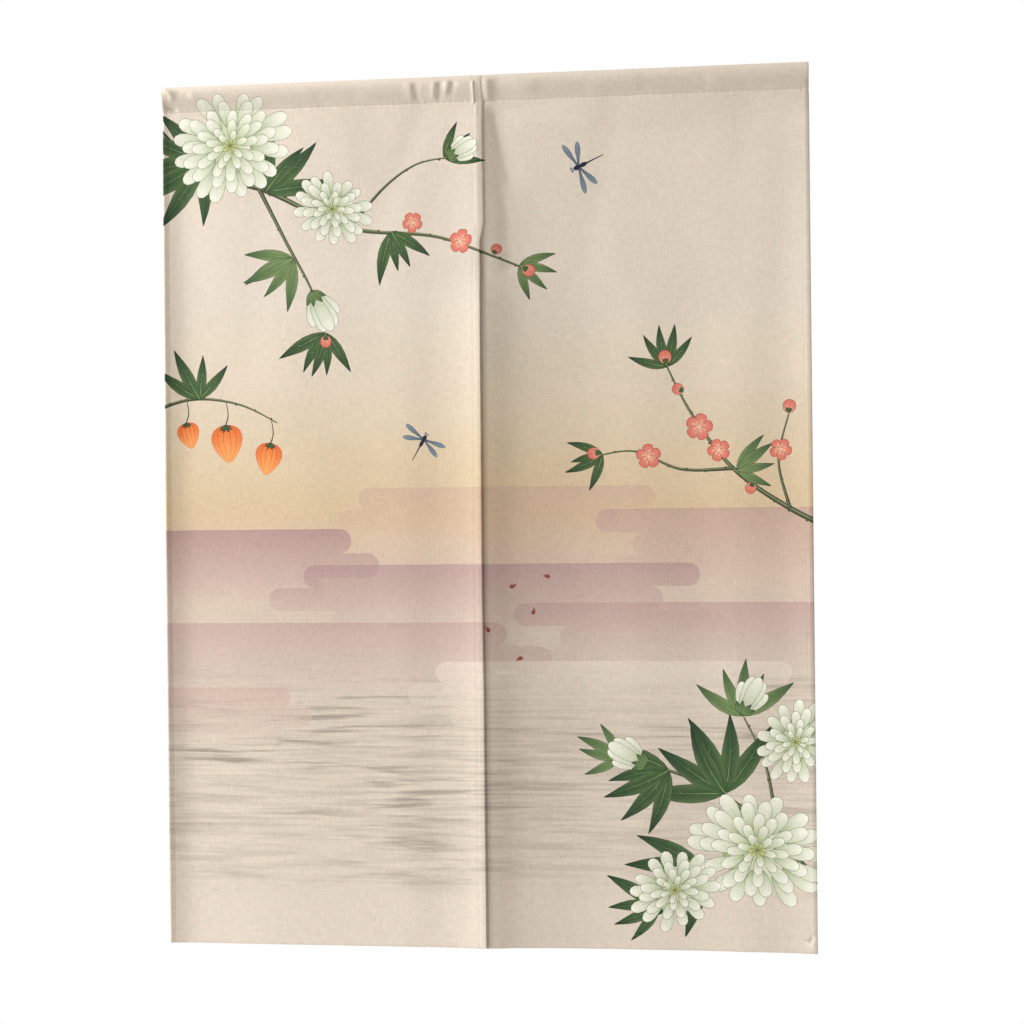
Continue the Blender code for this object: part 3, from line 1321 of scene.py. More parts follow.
@dataclass
class Print:
    """The curtain's print: a soft ground, mist, and flowers in two opposite corners.

    Args:
        ground: ground colours from the foot to the top.
        seed: makes the small differences between petals and leaves.
    """

    ground: tuple[Wash, ...] = (
        Wash(-1.20, shade(219, 207, 193)),
        Wash(-0.93, shade(215, 203, 188)),
        Wash(-0.78, shade(211, 197, 182)),
        Wash(-0.68, shade(210, 189, 174)),
        Wash(-0.60, shade(214, 191, 158)),
        Wash(-0.53, shade(217, 198, 168)),
        Wash(-0.43, shade(220, 207, 187)),
        Wash(-0.30, shade(222, 211, 197)),
        Wash(0.06, shade(219, 207, 192)),
    )
    seed: int = 11
    shapes: list[Shape] = field(default_factory=list)

    def compose(self) -> None:
        """Lays out every motif, from the lowest to the topmost."""
        dice = random.Random(self.seed)
        for motif in (*self.mist(), *self.left_corner(), *self.right_corner(), *self.accents()):
            self.shapes += motif.shapes(dice)
        log.info("print: %d shapes", len(self.shapes))

    def mist(self) -> Iterable[Motif]:
        """Banks of mist, staggered across both panels.

        Returns:
            The motifs, from the lowest to the topmost.
        """
        mauve, dusk = shade(172, 138, 142), shade(186, 154, 152)
        rose, pale = shade(196, 160, 152), shade(228, 217, 203)
        return (
            MistBank(-0.20, 0.24, -0.566, 0.030, ((0.03, 0.00), (0.00, 0.05), (0.06, 0.02)), rose, 0.42),
            MistBank(0.16, 0.60, -0.598, 0.032, ((0.00, 0.0), (0.05, 0.0), (0.02, 0.0)), dusk, 0.62),
            MistBank(-0.60, -0.14, -0.622, 0.034, ((0.0, 0.04), (0.0, 0.00), (0.0, 0.08)), mauve, 0.80),
            MistBank(-0.30, 0.33, -0.672, 0.032, ((0.05, 0.03), (0.00, 0.08), (0.09, 0.00)), mauve, 0.62),
            MistBank(0.05, 0.60, -0.726, 0.032, ((0.00, 0.0), (0.06, 0.0), (0.02, 0.0)), dusk, 0.66),
            MistBank(-0.60, 0.10, -0.752, 0.034, ((0.0, 0.06), (0.0, 0.00), (0.0, 0.09)), dusk, 0.60),
            MistBank(-0.10, 0.42, -0.806, 0.030, ((0.04, 0.00), (0.00, 0.05), (0.06, 0.02)), pale, 0.55),
            MistBank(-0.60, -0.24, -0.842, 0.028, ((0.0, 0.03), (0.0, 0.00), (0.0, 0.05)), rose, 0.46),
        )

    def left_corner(self) -> Iterable[Motif]:
        """The spray that comes in from the top left.

        Returns:
            The motifs, from the lowest to the topmost.
        """
        bough = ((-0.50, -0.010), (-0.40, -0.115), (-0.30, -0.150))
        return (
            Branch((*bough, (-0.18, -0.205), (-0.05, -0.222), (0.07, -0.268)), (0.0104, 0.0029)),
            Branch(((-0.31, -0.148), (-0.27, -0.225), (-0.235, -0.290), (-0.215, -0.350)), (0.0062, 0.0021)),
            Branch(((-0.18, -0.205), (-0.13, -0.150), (-0.085, -0.120), (-0.040, -0.112)), (0.0052, 0.0018)),
            LeafSpray((-0.395, -0.105), 205, 6, 0.115, 150),
            LeafSpray((-0.300, -0.150), 60, 5, 0.100, 110),
            LeafSpray((-0.262, -0.245), 215, 5, 0.082, 100, True),
            LeafSpray((-0.215, -0.350), 255, 5, 0.072, 110),
            LeafSpray((-0.120, -0.212), 290, 4, 0.070, 90),
            LeafSpray((0.060, -0.262), 330, 4, 0.062, 100, True),
            LeafSpray((-0.045, -0.112), 35, 4, 0.055, 100),
            Chrysanthemum((-0.352, -0.085), 0.088, 20, 0.86),
            Chrysanthemum((-0.205, -0.178), 0.060, -25, 0.80, SMALL_RINGS),
            FlowerBud((-0.235, -0.292), -62, 0.062),
            FlowerBud((-0.040, -0.112), 28, 0.046),
            PlumBlossom((-0.020, -0.228), 0.0165, 10),
            PlumBlossom((-0.090, -0.200), 0.0140, 50),
            PlumBud((0.072, -0.270), 0.0085, -30),
            PlumBud((0.030, -0.240), 0.0070, 60),
            PlumBud((-0.215, -0.362), 0.0080, 270),
        )

    def right_corner(self) -> Iterable[Motif]:
        """The cluster that grows from the bottom right, and a plum branch over it.

        Returns:
            The motifs, from the lowest to the topmost.
        """
        plum = ((0.50, -0.640), (0.42, -0.600), (0.345, -0.545))
        bough = ((0.50, -1.150), (0.40, -1.050), (0.325, -0.985))
        return (
            Branch((*plum, (0.29, -0.470), (0.255, -0.400)), (0.0088, 0.0023)),
            Branch(((0.345, -0.545), (0.275, -0.545), (0.215, -0.520), (0.165, -0.525)), (0.0052, 0.0018)),
            Branch(((0.420, -0.600), (0.405, -0.535), (0.420, -0.470)), (0.0047, 0.0018)),
            Branch((*bough, (0.255, -0.955), (0.180, -0.935)), (0.0104, 0.0029)),
            Branch(((0.40, -1.050), (0.385, -0.950), (0.355, -0.880)), (0.0060, 0.0023)),
            LeafSpray((0.330, -0.985), 118, 6, 0.110, 120),
            LeafSpray((0.255, -0.955), 205, 5, 0.090, 110),
            LeafSpray((0.300, -1.090), 200, 6, 0.105, 120),
            LeafSpray((0.355, -0.880), 95, 5, 0.080, 120, True),
            LeafSpray((0.190, -0.938), 165, 4, 0.060, 100, True),
            LeafSpray((0.240, -1.140), 190, 4, 0.075, 90),
            LeafSpray((0.258, -0.405), 110, 5, 0.060, 120),
            LeafSpray((0.350, -0.548), 20, 4, 0.058, 100, True),
            LeafSpray((0.170, -0.524), 200, 4, 0.054, 100),
            Chrysanthemum((0.372, -1.062), 0.094, -15, 0.84),
            Chrysanthemum((0.262, -1.118), 0.064, 30, 0.80, SMALL_RINGS),
            Chrysanthemum((0.424, -0.915), 0.060, 60, 0.82, SMALL_RINGS),
            FlowerBud((0.225, -0.948), 150, 0.058),
            FlowerBud((0.352, -0.878), 62, 0.056),
            PlumBlossom((0.300, -0.488), 0.0180, 5),
            PlumBlossom((0.326, -0.520), 0.0150, 40),
            PlumBlossom((0.232, -0.527), 0.0165, 22),
            PlumBlossom((0.408, -0.520), 0.0145, 60),
            PlumBud((0.255, -0.392), 0.0090, 100),
            PlumBud((0.272, -0.436), 0.0078, 160),
            PlumBud((0.158, -0.522), 0.0084, 190),
            PlumBud((0.420, -0.462), 0.0088, 80),
            PlumBud((0.368, -0.572), 0.0074, 250),
        )

    def accents(self) -> Iterable[Motif]:
        """Orange pods, dragonflies and drifting petals.

        Returns:
            The motifs, from the lowest to the topmost.
        """
        drifting = (
            (0.045, -0.705, 20),
            (0.075, -0.742, 70),
            (0.018, -0.765, 120),
            (0.098, -0.690, 160),
            (0.060, -0.800, 200),
        )
        return (
            Branch(((-0.50, -0.470), (-0.42, -0.440), (-0.345, -0.446), (-0.285, -0.474)), (0.0060, 0.0018)),
            LeafSpray((-0.400, -0.438), 100, 4, 0.072, 120),
            LanternPod((-0.362, -0.476), 0.052, 6),
            LanternPod((-0.296, -0.502), 0.044, -10),
            LanternPod((-0.420, -0.472), 0.036, 14),
            Dragonfly((0.140, -0.130), 205, 0.052),
            Dragonfly((-0.075, -0.500), 60, 0.046),
            *(PetalInAir((x, z), angle, 0.010) for x, z, angle in drifting),
        )

    def colours(self, places: Array) -> Array:
        """Ground colours at these places.

        Args:
            places: places on the cloth.

        Returns:
            A colour for each.
        """
        heights = [wash.height for wash in self.ground]
        parts = [[wash.colour[part] for wash in self.ground] for part in range(3)]
        return np.stack([np.interp(places[:, 1], heights, part) for part in parts], axis=1)


@dataclass(frozen=True)
class PetalInAir(Motif):
    """A small dark petal that drifts down."""

    root: Place
    angle: float
    length: float

    def shapes(self, dice: random.Random) -> list[Shape]:
        """One curled blade, with a second, smaller one beside it.

        Args:
            dice: not used.

        Returns:
            The shapes, from the lowest to the topmost.
        """
        angle = math.radians(self.angle)
        return [
            blade(Form.LEAF, Inks.DRIFT, self.root, angle, self.length, self.length * 0.45, 0.3),
            blade(Form.LEAF, Inks.DRIFT, self.root, angle + 0.9, self.length * 0.6, self.length * 0.3, -0.2),
        ]


def enclosed(places: Array, outline: Array) -> Array:
    """Whether each place lies inside a closed outline, also where the outline crosses itself.

    Args:
        places: the places to test.
        outline: the outline's corners.

    Returns:
        Yes or no for each place.
    """
    x, z = places[:, 0, None], places[:, 1, None]
    ends = np.roll(outline, -1, axis=0)
    x0, z0, x1, z1 = outline[:, 0], outline[:, 1], ends[:, 0], ends[:, 1]
    left_of = (x1 - x0) * (z - z0) - (x - x0) * (z1 - z0)
    upward = (z0 <= z) & (z1 > z) & (left_of > 0)
    downward = (z0 > z) & (z1 <= z) & (left_of < 0)
    return upward.sum(axis=1) != downward.sum(axis=1)


def held_by(outline: Array, middles: Array, order: Array) -> Array:
    """Numbers of the triangles that an outline holds.

    Args:
        outline: the shape's corners.
        middles: the middle of each triangle.
        order: the triangles' numbers, from left to right.

    Returns:
        The numbers of those inside it.
    """
    low, high = outline.min(axis=0), outline.max(axis=0)
    first, last = np.searchsorted(middles[order, 0], (low[0], high[0]))
    near = order[first:last]
    near = near[(middles[near, 1] > low[1]) & (middles[near, 1] < high[1])]
    return near[enclosed(middles[near], outline)]


class SheetCut:
    """A panel's flat sheet, cut into triangles along its edges, its hem lines and the printed shapes."""

    GRID = 0.0106
    POCKET_GRID = 0.0030
    CURVE_GRID = 0.0016
    BACK_GRID = GRID * 0.7
    STAGGER = 0.37  # share of a step that keeps the grid off the lines
    POCKET_BAND = 0.020  # cloth under the stitch line that is cut as finely as the pocket
    PULL_SIDES = (0.016, 0.072)  # the cloth that the seam pulls, on the right
    PULL_FOOT = -0.300
    PULL_GRID = (0.0040, 0.0042)  # across and along
    MERGED = 1e-7  # places nearer than this become one
    INSET = 0.0004  # of a line's ends from the cut's edges
    LINE_STEP = 0.0060
    ROLLED = (0.0005, 0.0011)  # depths from an edge
    CURLED = (0.0022, 0.0036, 0.0055)
    BESIDE = (-0.0010, -0.0004, 0.0, 0.0004, 0.0010)  # from a row of stitches
    RIDGE = (-0.0028, -0.0017, -0.0004, 0.0008, 0.0024)  # from the tucked cloth's edge, on the lap
    BESIDE_LAP = (-0.0006, 0.0004, 0.0010, 0.0016, 0.0023, 0.0032, 0.0045, 0.0060)
    AT_STITCH = (-0.0022, -0.0012, -0.0005, 0.0, 0.0005, 0.0012, 0.0022)

    def __init__(self, panel: Panel, shapes: Sequence[Shape]) -> None:
        """Cuts the sheet.

        Args:
            panel: the panel that it is for.
            shapes: the whole print, from the lowest shape to the topmost.
        """
        self.panel = panel
        self.points: list[Array] = []
        self.lines: list[tuple[int, int]] = []
        self.count = 0
        self.add_loop(self.dense_outline())
        self.drawn = [shape for shape in shapes if self.reaches(shape)]
        for shape in self.drawn:
            self.add_loop(shape.outline)
        self.add_sewing_lines()
        self.add_grid()
        self.cut()

    def reaches(self, shape: Shape) -> bool:
        """Whether a shape lies at least partly on this panel.

        Args:
            shape: the printed shape.

        Returns:
            Whether it does.
        """
        left, right = self.panel.sides
        across = shape.outline[:, 0]
        return bool(across.max() > left and across.min() < right)

    def dense_outline(self) -> Array:
        """The cut's outline with corners close enough to follow every fold.

        Returns:
            Its corners.
        """
        corners = self.panel.outline()
        sides = [
            np.concatenate([[start], edge_points(start, end, 0.004)])
            for start, end in zip(corners, corners[1:] + corners[:1])
        ]
        return np.concatenate(sides)

    def add(self, places: Array) -> range:
        """Adds places and returns their numbers.

        Args:
            places: places on the cloth.

        Returns:
            Their numbers, in order.
        """
        self.points.append(np.asarray(places, float))
        first, self.count = self.count, self.count + len(places)
        return range(first, self.count)

    def add_loop(self, places: Array) -> None:
        """Adds the outline of a closed shape."""
        numbers = list(self.add(places))
        self.lines += list(zip(numbers, numbers[1:] + numbers[:1]))

    def add_line(self, start: Place, end: Place, step: float) -> None:
        """Adds a straight line that the triangles follow.

        Args:
            start: one end.
            end: the other.
            step: wanted distance between its places.
        """
        numbers = self.add(np.concatenate([[start], edge_points(start, end, step), [end]]))
        self.lines += list(zip(numbers, numbers[1:]))

    def add_sewing_lines(self) -> None:
        """Adds lines on both sides of each row of stitches, at each hem's step and along rolled edges."""
        panel, inset = self.panel, self.INSET
        rolled = [*self.ROLLED, SIZES.side_hem, SIZES.side_hem + SIZES.hem_step]
        sewn = [SIZES.side_hem - STITCH_INSET + gap for gap in self.BESIDE]
        lapped = [SIZES.lap + gap for gap in (self.RIDGE if panel.side < 0 else self.BESIDE_LAP)]
        top = TOP_ALONG if panel.side < 0 else SIZES.stitch - SIZES.tab_drop
        for depth in (*rolled, *sewn, *self.CURLED):
            outer = panel.outer_edge - panel.side * depth
            self.add_line((outer, SIZES.foot + inset), (outer, TOP_ALONG - inset), self.LINE_STEP)
        for depth in (*rolled, *(sewn if panel.side < 0 else []), *lapped):
            inner = panel.inner_edge + panel.side * depth
            self.add_line((inner, SIZES.foot + inset), (inner, top - inset), self.LINE_STEP)
        left, right = panel.sides
        heights = [*self.ROLLED, *(SIZES.foot_hem - STITCH_INSET + gap for gap in self.BESIDE)]
        heights += [SIZES.foot_hem, SIZES.foot_hem + SIZES.hem_step]
        for height in heights:
            along = SIZES.foot + height
            self.add_line((left + inset, along), (right - inset, along), self.LINE_STEP)
        for gap in self.AT_STITCH:
            along = SIZES.stitch + gap
            self.add_line((left + inset, along), (right - inset, along), self.LINE_STEP / 2)

    def add_grid(self) -> None:
        """Adds loose places all over the sheet: close together at the pocket, wider apart below."""
        left, right = self.panel.sides
        low = SIZES.stitch - self.POCKET_BAND
        crown = SIZES.stitch + POCKET.front_wall
        behind = crown + SIZES.pocket_radius * math.pi
        bands = (
            (SIZES.foot, low, self.GRID, self.GRID),
            (low, crown, self.POCKET_GRID, self.POCKET_GRID),
            (crown, behind, self.CURVE_GRID, self.BACK_GRID),
            (behind, TOP_ALONG, self.POCKET_GRID, self.BACK_GRID),
        )
        if self.panel.side > 0:
            step, rise = self.PULL_GRID
            pull = np.meshgrid(steps(*self.PULL_SIDES, step), steps(self.PULL_FOOT, low, rise))
            self.add(np.stack(pull, axis=-1).reshape(-1, 2))
        for bottom, top, rise, step in bands:
            across = steps(left, right, step)[1:-1]
            along = steps(bottom, top, rise)[:-1] + rise * self.STAGGER
            self.add(np.stack(np.meshgrid(across, along), axis=-1).reshape(-1, 2))

    def cut(self) -> None:
        """Cuts the triangles, keeps those on the panel, and notes which of them each printed shape holds."""
        places = [Vector(place) for place in np.concatenate(self.points).tolist()]
        flat, _, faces, _, _, _ = delaunay_2d_cdt(places, self.lines, [], 0, self.MERGED, False)
        flat, corners = np.array([place[:] for place in flat]), np.array(faces)
        corners = corners[enclosed(flat[corners].mean(axis=1), np.array(self.panel.outline()))]
        used, numbers = np.unique(corners, return_inverse=True)
        self.places = flat[used]
        self.triangles = numbers.reshape(-1, 3)
        a, b, c = (self.places[self.triangles[:, i]] for i in range(3))
        turned = (b - a)[:, 0] * (c - a)[:, 1] - (b - a)[:, 1] * (c - a)[:, 0] < 0
        self.triangles[turned] = self.triangles[turned][:, ::-1]
        middles = self.places[self.triangles].mean(axis=1)
        order = np.argsort(middles[:, 0])
        self.held = [held_by(shape.outline, middles, order) for shape in self.drawn]

    def rim(self) -> Array:
        """The sheet's outer edges, as pairs of places in the triangles' order.

        Returns:
            A row of two numbers for each edge.
        """
        ends = np.concatenate([self.triangles[:, pair] for pair in ([0, 1], [1, 2], [2, 0])])
        found = np.unique(np.sort(ends, axis=1), axis=0, return_index=True, return_counts=True)
        _, first, counts = found
        return ends[first[counts == 1]]


class PrintedSheet:
    """A panel's cloth: a closed thin solid with the print on its face and its turned-in hems behind."""

    REVERSE = shade(222, 212, 197)  # undyed cloth behind the print
    SHOW_THROUGH = 0.42

    def __init__(self, panel: Panel, design: Print) -> None:
        """Cuts the panel's sheet.

        Args:
            panel: the panel that it is for.
            design: the print, laid out.
        """
        self.panel = panel
        self.design = design
        self.sheet = SheetCut(panel, design.shapes)

    def face_colours(self) -> tuple[Array, Array]:
        """The print at each triangle's corners, in rows of three, and how bare each triangle is of it.

        Returns:
            The colours, and the share of bare ground.
        """
        corners = self.sheet.places[self.sheet.triangles]
        count = len(corners)
        colours = self.design.colours(corners.reshape(-1, 2)).reshape(count, 3, 3)
        bare = np.ones(count)
        for shape, held in zip(self.sheet.drawn, self.sheet.held):
            if len(held):
                under = colours[held].reshape(-1, 3)
                colours[held] = shape.over(under, corners[held].reshape(-1, 2)).reshape(-1, 3, 3)
                bare[held] *= 1 - max(shape.ink.cover)
        return colours, bare

    def back_colours(self, face: Array) -> Array:
        """What shows behind: the print's ghost, and on the hems the printed side of the turned-in cloth.

        Args:
            face: the print at each triangle's corners.

        Returns:
            Colours in the same rows.
        """
        places = self.sheet.places[self.sheet.triangles]
        middle = places.mean(axis=1)
        hem = self.panel.hemmed(middle[:, 0], middle[:, 1]) > 0.5
        ghost = np.array(self.REVERSE) * (1 - self.SHOW_THROUGH) + face * self.SHOW_THROUGH
        ground = self.design.colours(places.reshape(-1, 2)).reshape(face.shape)
        return np.where(hem[:, None, None], ground, ghost)

    def build(self) -> bpy.types.Object:
        """The cloth as an object, with its colours and its map in metres.

        Returns:
            The object.
        """
        sheet, panel = self.sheet, self.panel
        across, along = sheet.places.T
        face = panel.face(across, along)
        normals = panel.normals(across, along)
        back = face - normals * panel.thickness(across, along)[:, None]
        count = len(face)
        rim = sheet.rim()
        walls = np.stack([rim[:, 1], rim[:, 0], rim[:, 0] + count, rim[:, 1] + count], axis=1)
        behind = sheet.triangles[:, ::-1] + count
        faces = [*sheet.triangles.tolist(), *behind.tolist(), *walls.tolist()]
        mesh = bpy.data.meshes.new(panel.name)
        mesh.from_pydata(np.concatenate([face, back]).tolist(), [], faces)
        printed, bare = self.face_colours()
        reverse = self.back_colours(printed)[:, ::-1]
        edge_colour = np.zeros((count, 3))
        edge_colour[sheet.triangles.reshape(-1)] = printed.reshape(-1, 3)
        flat = np.concatenate([part.reshape(-1) % count for part in (sheet.triangles, behind, walls)])
        edge = edge_colour[walls.reshape(-1) % count]
        colours = np.concatenate([printed.reshape(-1, 3), reverse.reshape(-1, 3), edge])
        colours = np.column_stack([colours, np.ones(len(colours))])
        bare = np.concatenate([np.repeat(bare, 3), np.repeat(bare, 3), np.zeros(walls.size)])
        fill_layer(mesh.color_attributes.new(INK_ATTRIBUTE, "FLOAT_COLOR", "CORNER"), "color", colours)
        fill_layer(mesh.attributes.new(BARE_ATTRIBUTE, "FLOAT", "CORNER"), "value", bare)
        fill_layer(mesh.uv_layers.new(name=CLOTH_MAP), "uv", sheet.places[flat])
        mesh.polygons.foreach_set("material_index", self.finish_numbers(len(sheet.triangles), len(walls)))
        mesh.shade_smooth()
        mesh.normals_split_custom_set_from_vertices(np.concatenate([normals, -normals]).tolist())
        log.info("%s: %d triangles on its face", panel.name, len(sheet.triangles))
        return add_object(panel.name, mesh)

    def finish_numbers(self, triangles: int, walls: int) -> Array:
        """Which finish each polygon takes: 0 printed, 1 reverse.

        Args:
            triangles: how many triangles the face has.
            walls: how many walls its rim has.

        Returns:
            A number for each polygon.
        """
        reverse = self.panel.hemmed(*self.sheet.places[self.sheet.triangles].mean(axis=1).T) <= 0.5
        return np.concatenate([np.zeros(triangles), reverse, np.zeros(walls)]).astype(np.int32)


def fill_layer(layer: bpy.types.bpy_struct, kind: str, values: Array) -> None:
    """Writes a new mesh layer's values, before any other layer is added."""
    layer.data.foreach_set(kind, values.reshape(-1).astype(np.float32))


def add_object(name: str, data: bpy.types.ID) -> bpy.types.Object:
    """Puts a mesh, a lamp or a camera into the scene.

    Args:
        name: the object's name.
        data: what it shows.

    Returns:
        The object.
    """
    made = bpy.data.objects.new(name, data)
    bpy.context.scene.collection.objects.link(made)
    return made


@dataclass(frozen=True)
class StitchRow:
    """A straight row of stitches in cloth coordinates, on the printed face or behind it."""

    start: Place
    end: Place
    behind: bool = False


@dataclass(frozen=True)
class Sewing:
    """The thread that shows along a panel's hems and pocket, as one mesh of short stitches."""

    panel: Panel
    rows: tuple[StitchRow, ...]
    length: float = 0.0027
    gap: float = 0.0009
    radius: float = 0.00017

    def build(self, name: str) -> bpy.types.Object:
        """The stitches as one object.

        Args:
            name: the object's name.

        Returns:
            The object.
        """
        verts: list[Array] = []
        for row in self.rows:
            verts.append(self.row_points(row))
        points = np.concatenate(verts)
        mesh = bpy.data.meshes.new(name)
        mesh.from_pydata(points.reshape(-1, 3).tolist(), [], self.stitch_faces(len(points)).tolist())
        mesh.shade_smooth()
        log.info("%s: %d stitches", name, len(points))
        return add_object(name, mesh)

    def row_points(self, row: StitchRow) -> Array:
        """The corners of each stitch in a row: three rings of four.

        Args:
            row: the row of stitches.

        Returns:
            Points by stitch, ring and corner.
        """
        start, end = np.array(row.start), np.array(row.end)
        length = float(np.linalg.norm(end - start))
        pitch = self.length + self.gap
        middles = (np.arange(int(length / pitch)) + 0.5) * pitch
        way = (end - start) / length
        rings = []
        for share, size, rise in ((-0.5, 0.45, -0.5), (0.0, 1.0, 0.45), (0.5, 0.45, -0.5)):
            places = start + way * (middles + share * self.length)[:, None]
            rings.append(self.ring(places, way, size * self.radius, rise * self.radius, row.behind))
        return np.stack(rings, axis=1)

    def ring(self, places: Array, way: Array, size: float, rise: float, behind: bool) -> Array:
        """Four corners round the thread at each place.

        Args:
            places: places on the cloth.
            way: the row's direction.
            size: the thread's half width.
            rise: how far its middle is above the cloth.
            behind: whether the row is on the cloth's back.

        Returns:
            Four points for each place.
        """
        across, along = places.T
        normals = self.panel.normals(across, along)
        middle = self.panel.face(across, along)
        reach = FACE_STEP * 2
        run = self.panel.face(*(places + way * reach).T) - self.panel.face(*(places - way * reach).T)
        run /= np.linalg.norm(run, axis=1, keepdims=True)
        aside = np.cross(run, normals)
        if behind:
            middle = middle - normals * self.panel.thickness(across, along)[:, None]
            normals = -normals
        middle = middle + normals * rise
        aside, normals = aside * size, normals * size
        return np.stack([middle + aside, middle + normals, middle - aside, middle - normals], axis=1)

    def stitch_faces(self, count: int) -> Array:
        """Faces of all stitches: two bands of four walls, and two ends.

        Args:
            count: how many stitches there are.

        Returns:
            A row of four corners for each face.
        """
        quads = []
        for ring in (0, 4):
            for side in range(4):
                turn = (side + 1) % 4
                quads.append((ring + side, ring + turn, ring + 4 + turn, ring + 4 + side))
        quads += [(3, 2, 1, 0), (8, 9, 10, 11)]
        return (np.array(quads)[None] + 12 * np.arange(count)[:, None, None]).reshape(-1, 4)


def panel_sewing(panel: Panel) -> Sewing:
    """All rows of stitches of a panel.

    Args:
        panel: the panel that is sewn.

    Returns:
        Its sewing.
    """
    rows = []
    for groove in stitch_grooves(panel):
        if groove.start[0] != groove.end[0]:
            rows.append(StitchRow(groove.start, groove.end))
        if SIZES.stitch not in (groove.start[1], groove.end[1]):
            rows.append(StitchRow(groove.start, groove.end, True))
    flap = TOP_ALONG - SIZES.flap_tail + FLAP_INSET
    rows.append(StitchRow((panel.outer_edge, flap), (SIZES.lap_edge, flap)))
    if panel.side < 0:
        seam = panel.inner_edge - SEAM_INSET
        rows.append(StitchRow((seam, -SIZES.seam_length), (seam, SIZES.stitch)))
        for rise in BAR_RISES:
            level = -SIZES.seam_length + rise
            rows.append(StitchRow((seam + BAR_ENDS[0], level), (seam + BAR_ENDS[1], level)))
    return Sewing(panel, tuple(rows))


class NodeTable:
    """A node tree being filled in."""

    def __init__(self, tree: bpy.types.NodeTree) -> None:
        """Keeps the tree that nodes are added to."""
        self.tree = tree

    def fill(self, node: bpy.types.Node, inputs: Inputs) -> None:
        """Gives each of a node's inputs a value or another node's output.

        Args:
            node: the node.
            inputs: a value or an output for each input, by its name or number.
        """
        for name, value in inputs.items():
            if isinstance(value, bpy.types.NodeSocket):
                self.tree.links.new(value, node.inputs[name])
            else:
                node.inputs[name].default_value = value

    def add(self, kind: str, inputs: Inputs | None = None, **settings: object) -> bpy.types.Node:
        """Adds a node.

        Args:
            kind: Blender's name for the node's type.
            inputs: a value or another node's output for each input.
            settings: the node's own options.

        Returns:
            The new node.
        """
        node = self.tree.nodes.new(kind)
        for name, value in settings.items():
            setattr(node, name, value)
        self.fill(node, inputs or {})
        return node

    def maths(self, operation: str, *values: object) -> Socket:
        """The result of a sum on numbers."""
        return self.add("ShaderNodeMath", dict(enumerate(values)), operation=operation).outputs[0]

    def times(self, first: Socket, second: object) -> Socket:
        """Two vectors or colours multiplied part by part."""
        return self.add("ShaderNodeVectorMath", {0: first, 1: second}, operation="MULTIPLY").outputs[0]

    def scaled(self, vector: Socket, factor: object) -> Socket:
        """A vector or colour multiplied by a number."""
        return self.add("ShaderNodeVectorMath", {0: vector, "Scale": factor}, operation="SCALE").outputs[0]

    def parts(self, vector: Socket) -> tuple[Socket, Socket]:
        """A vector's X and Y."""
        return tuple(self.add("ShaderNodeSeparateXYZ", {0: vector}).outputs[:2])

    def smooth(self, value: Socket, low: object, high: object, top: float = 1.0) -> Socket:
        """From 0 at a low value to the top at a high one, level at both ends."""
        limits = {"Value": value, "From Min": low, "From Max": high, "To Max": top}
        return self.add("ShaderNodeMapRange", limits, interpolation_type="SMOOTHSTEP").outputs[0]

    def uneven(self, place: Socket, scale: object, detail: float) -> Socket:
        """Soft noise about 0 in the plane of the cloth.

        Args:
            place: where it is read.
            scale: patches in a metre, or an output that gives it.
            detail: how many finer layers it has.

        Returns:
            The noise's output.
        """
        inputs = {"Vector": place, "Scale": scale, "Detail": detail, "Roughness": 0.62}
        noise = self.add("ShaderNodeTexNoise", inputs, noise_dimensions="2D")
        return self.maths("SUBTRACT", noise.outputs[0], 0.5)


class GroupKind(Enum):
    """Shader groups that the finishes share."""

    WEAVE = "woven_threads"
    MOTTLE = "uneven_ink"
    RIPPLE = "slow_water"


def new_group(
    kind: GroupKind, inputs: dict[str, float], outputs: dict[str, str]
) -> tuple[NodeTable, Sockets]:
    """An empty shader group.

    Args:
        kind: which group it is.
        inputs: names and values of its numbers, which come after a place in metres.
        outputs: names and socket types of what it gives.

    Returns:
        The group's table, and what it is given.
    """
    tree = bpy.data.node_groups.new(kind.value, "ShaderNodeTree")
    tree.interface.new_socket("Place", in_out="INPUT", socket_type="NodeSocketVector")
    for name, value in inputs.items():
        socket = tree.interface.new_socket(name, in_out="INPUT", socket_type="NodeSocketFloat")
        socket.default_value = value
    for name, kind_name in outputs.items():
        tree.interface.new_socket(name, in_out="OUTPUT", socket_type=kind_name)
    table = NodeTable(tree)
    return table, table.add("NodeGroupInput").outputs


def weave_group() -> bpy.types.NodeTree:
    """Plain weave of uneven threads: a height, and a tone about 1.

    Returns:
        The group.
    """
    outputs = {"Height": "NodeSocketFloat", "Tone": "NodeSocketFloat"}
    table, given = new_group(GroupKind.WEAVE, {"Threads": 1700.0, "Slub": 0.05}, outputs)
    counted = table.scaled(given["Place"], given["Threads"])
    turns = (table.maths("MULTIPLY", part, math.pi) for part in table.parts(counted))
    over, under = (table.maths("SINE", turn) for turn in turns)
    crossing = table.maths("MULTIPLY", over, under)
    crossing_share, slub_share, middle = 0.16, 1.2, 0.5
    runs = ((0.24, 0.040, 1.0), (0.036, 0.27, 1.0))  # threads that run down, then threads that run across
    slub = table.maths("ADD", *(table.uneven(table.times(counted, run), 1.0, 2.0) for run in runs))
    slubs = table.maths("MULTIPLY_ADD", slub, slub_share, middle)
    height = table.maths("MULTIPLY_ADD", crossing, crossing_share, slubs)
    tone = table.maths("MULTIPLY_ADD", slub, given["Slub"], 1.0)
    table.add("NodeGroupOutput", {"Height": height, "Tone": tone})
    return table.tree


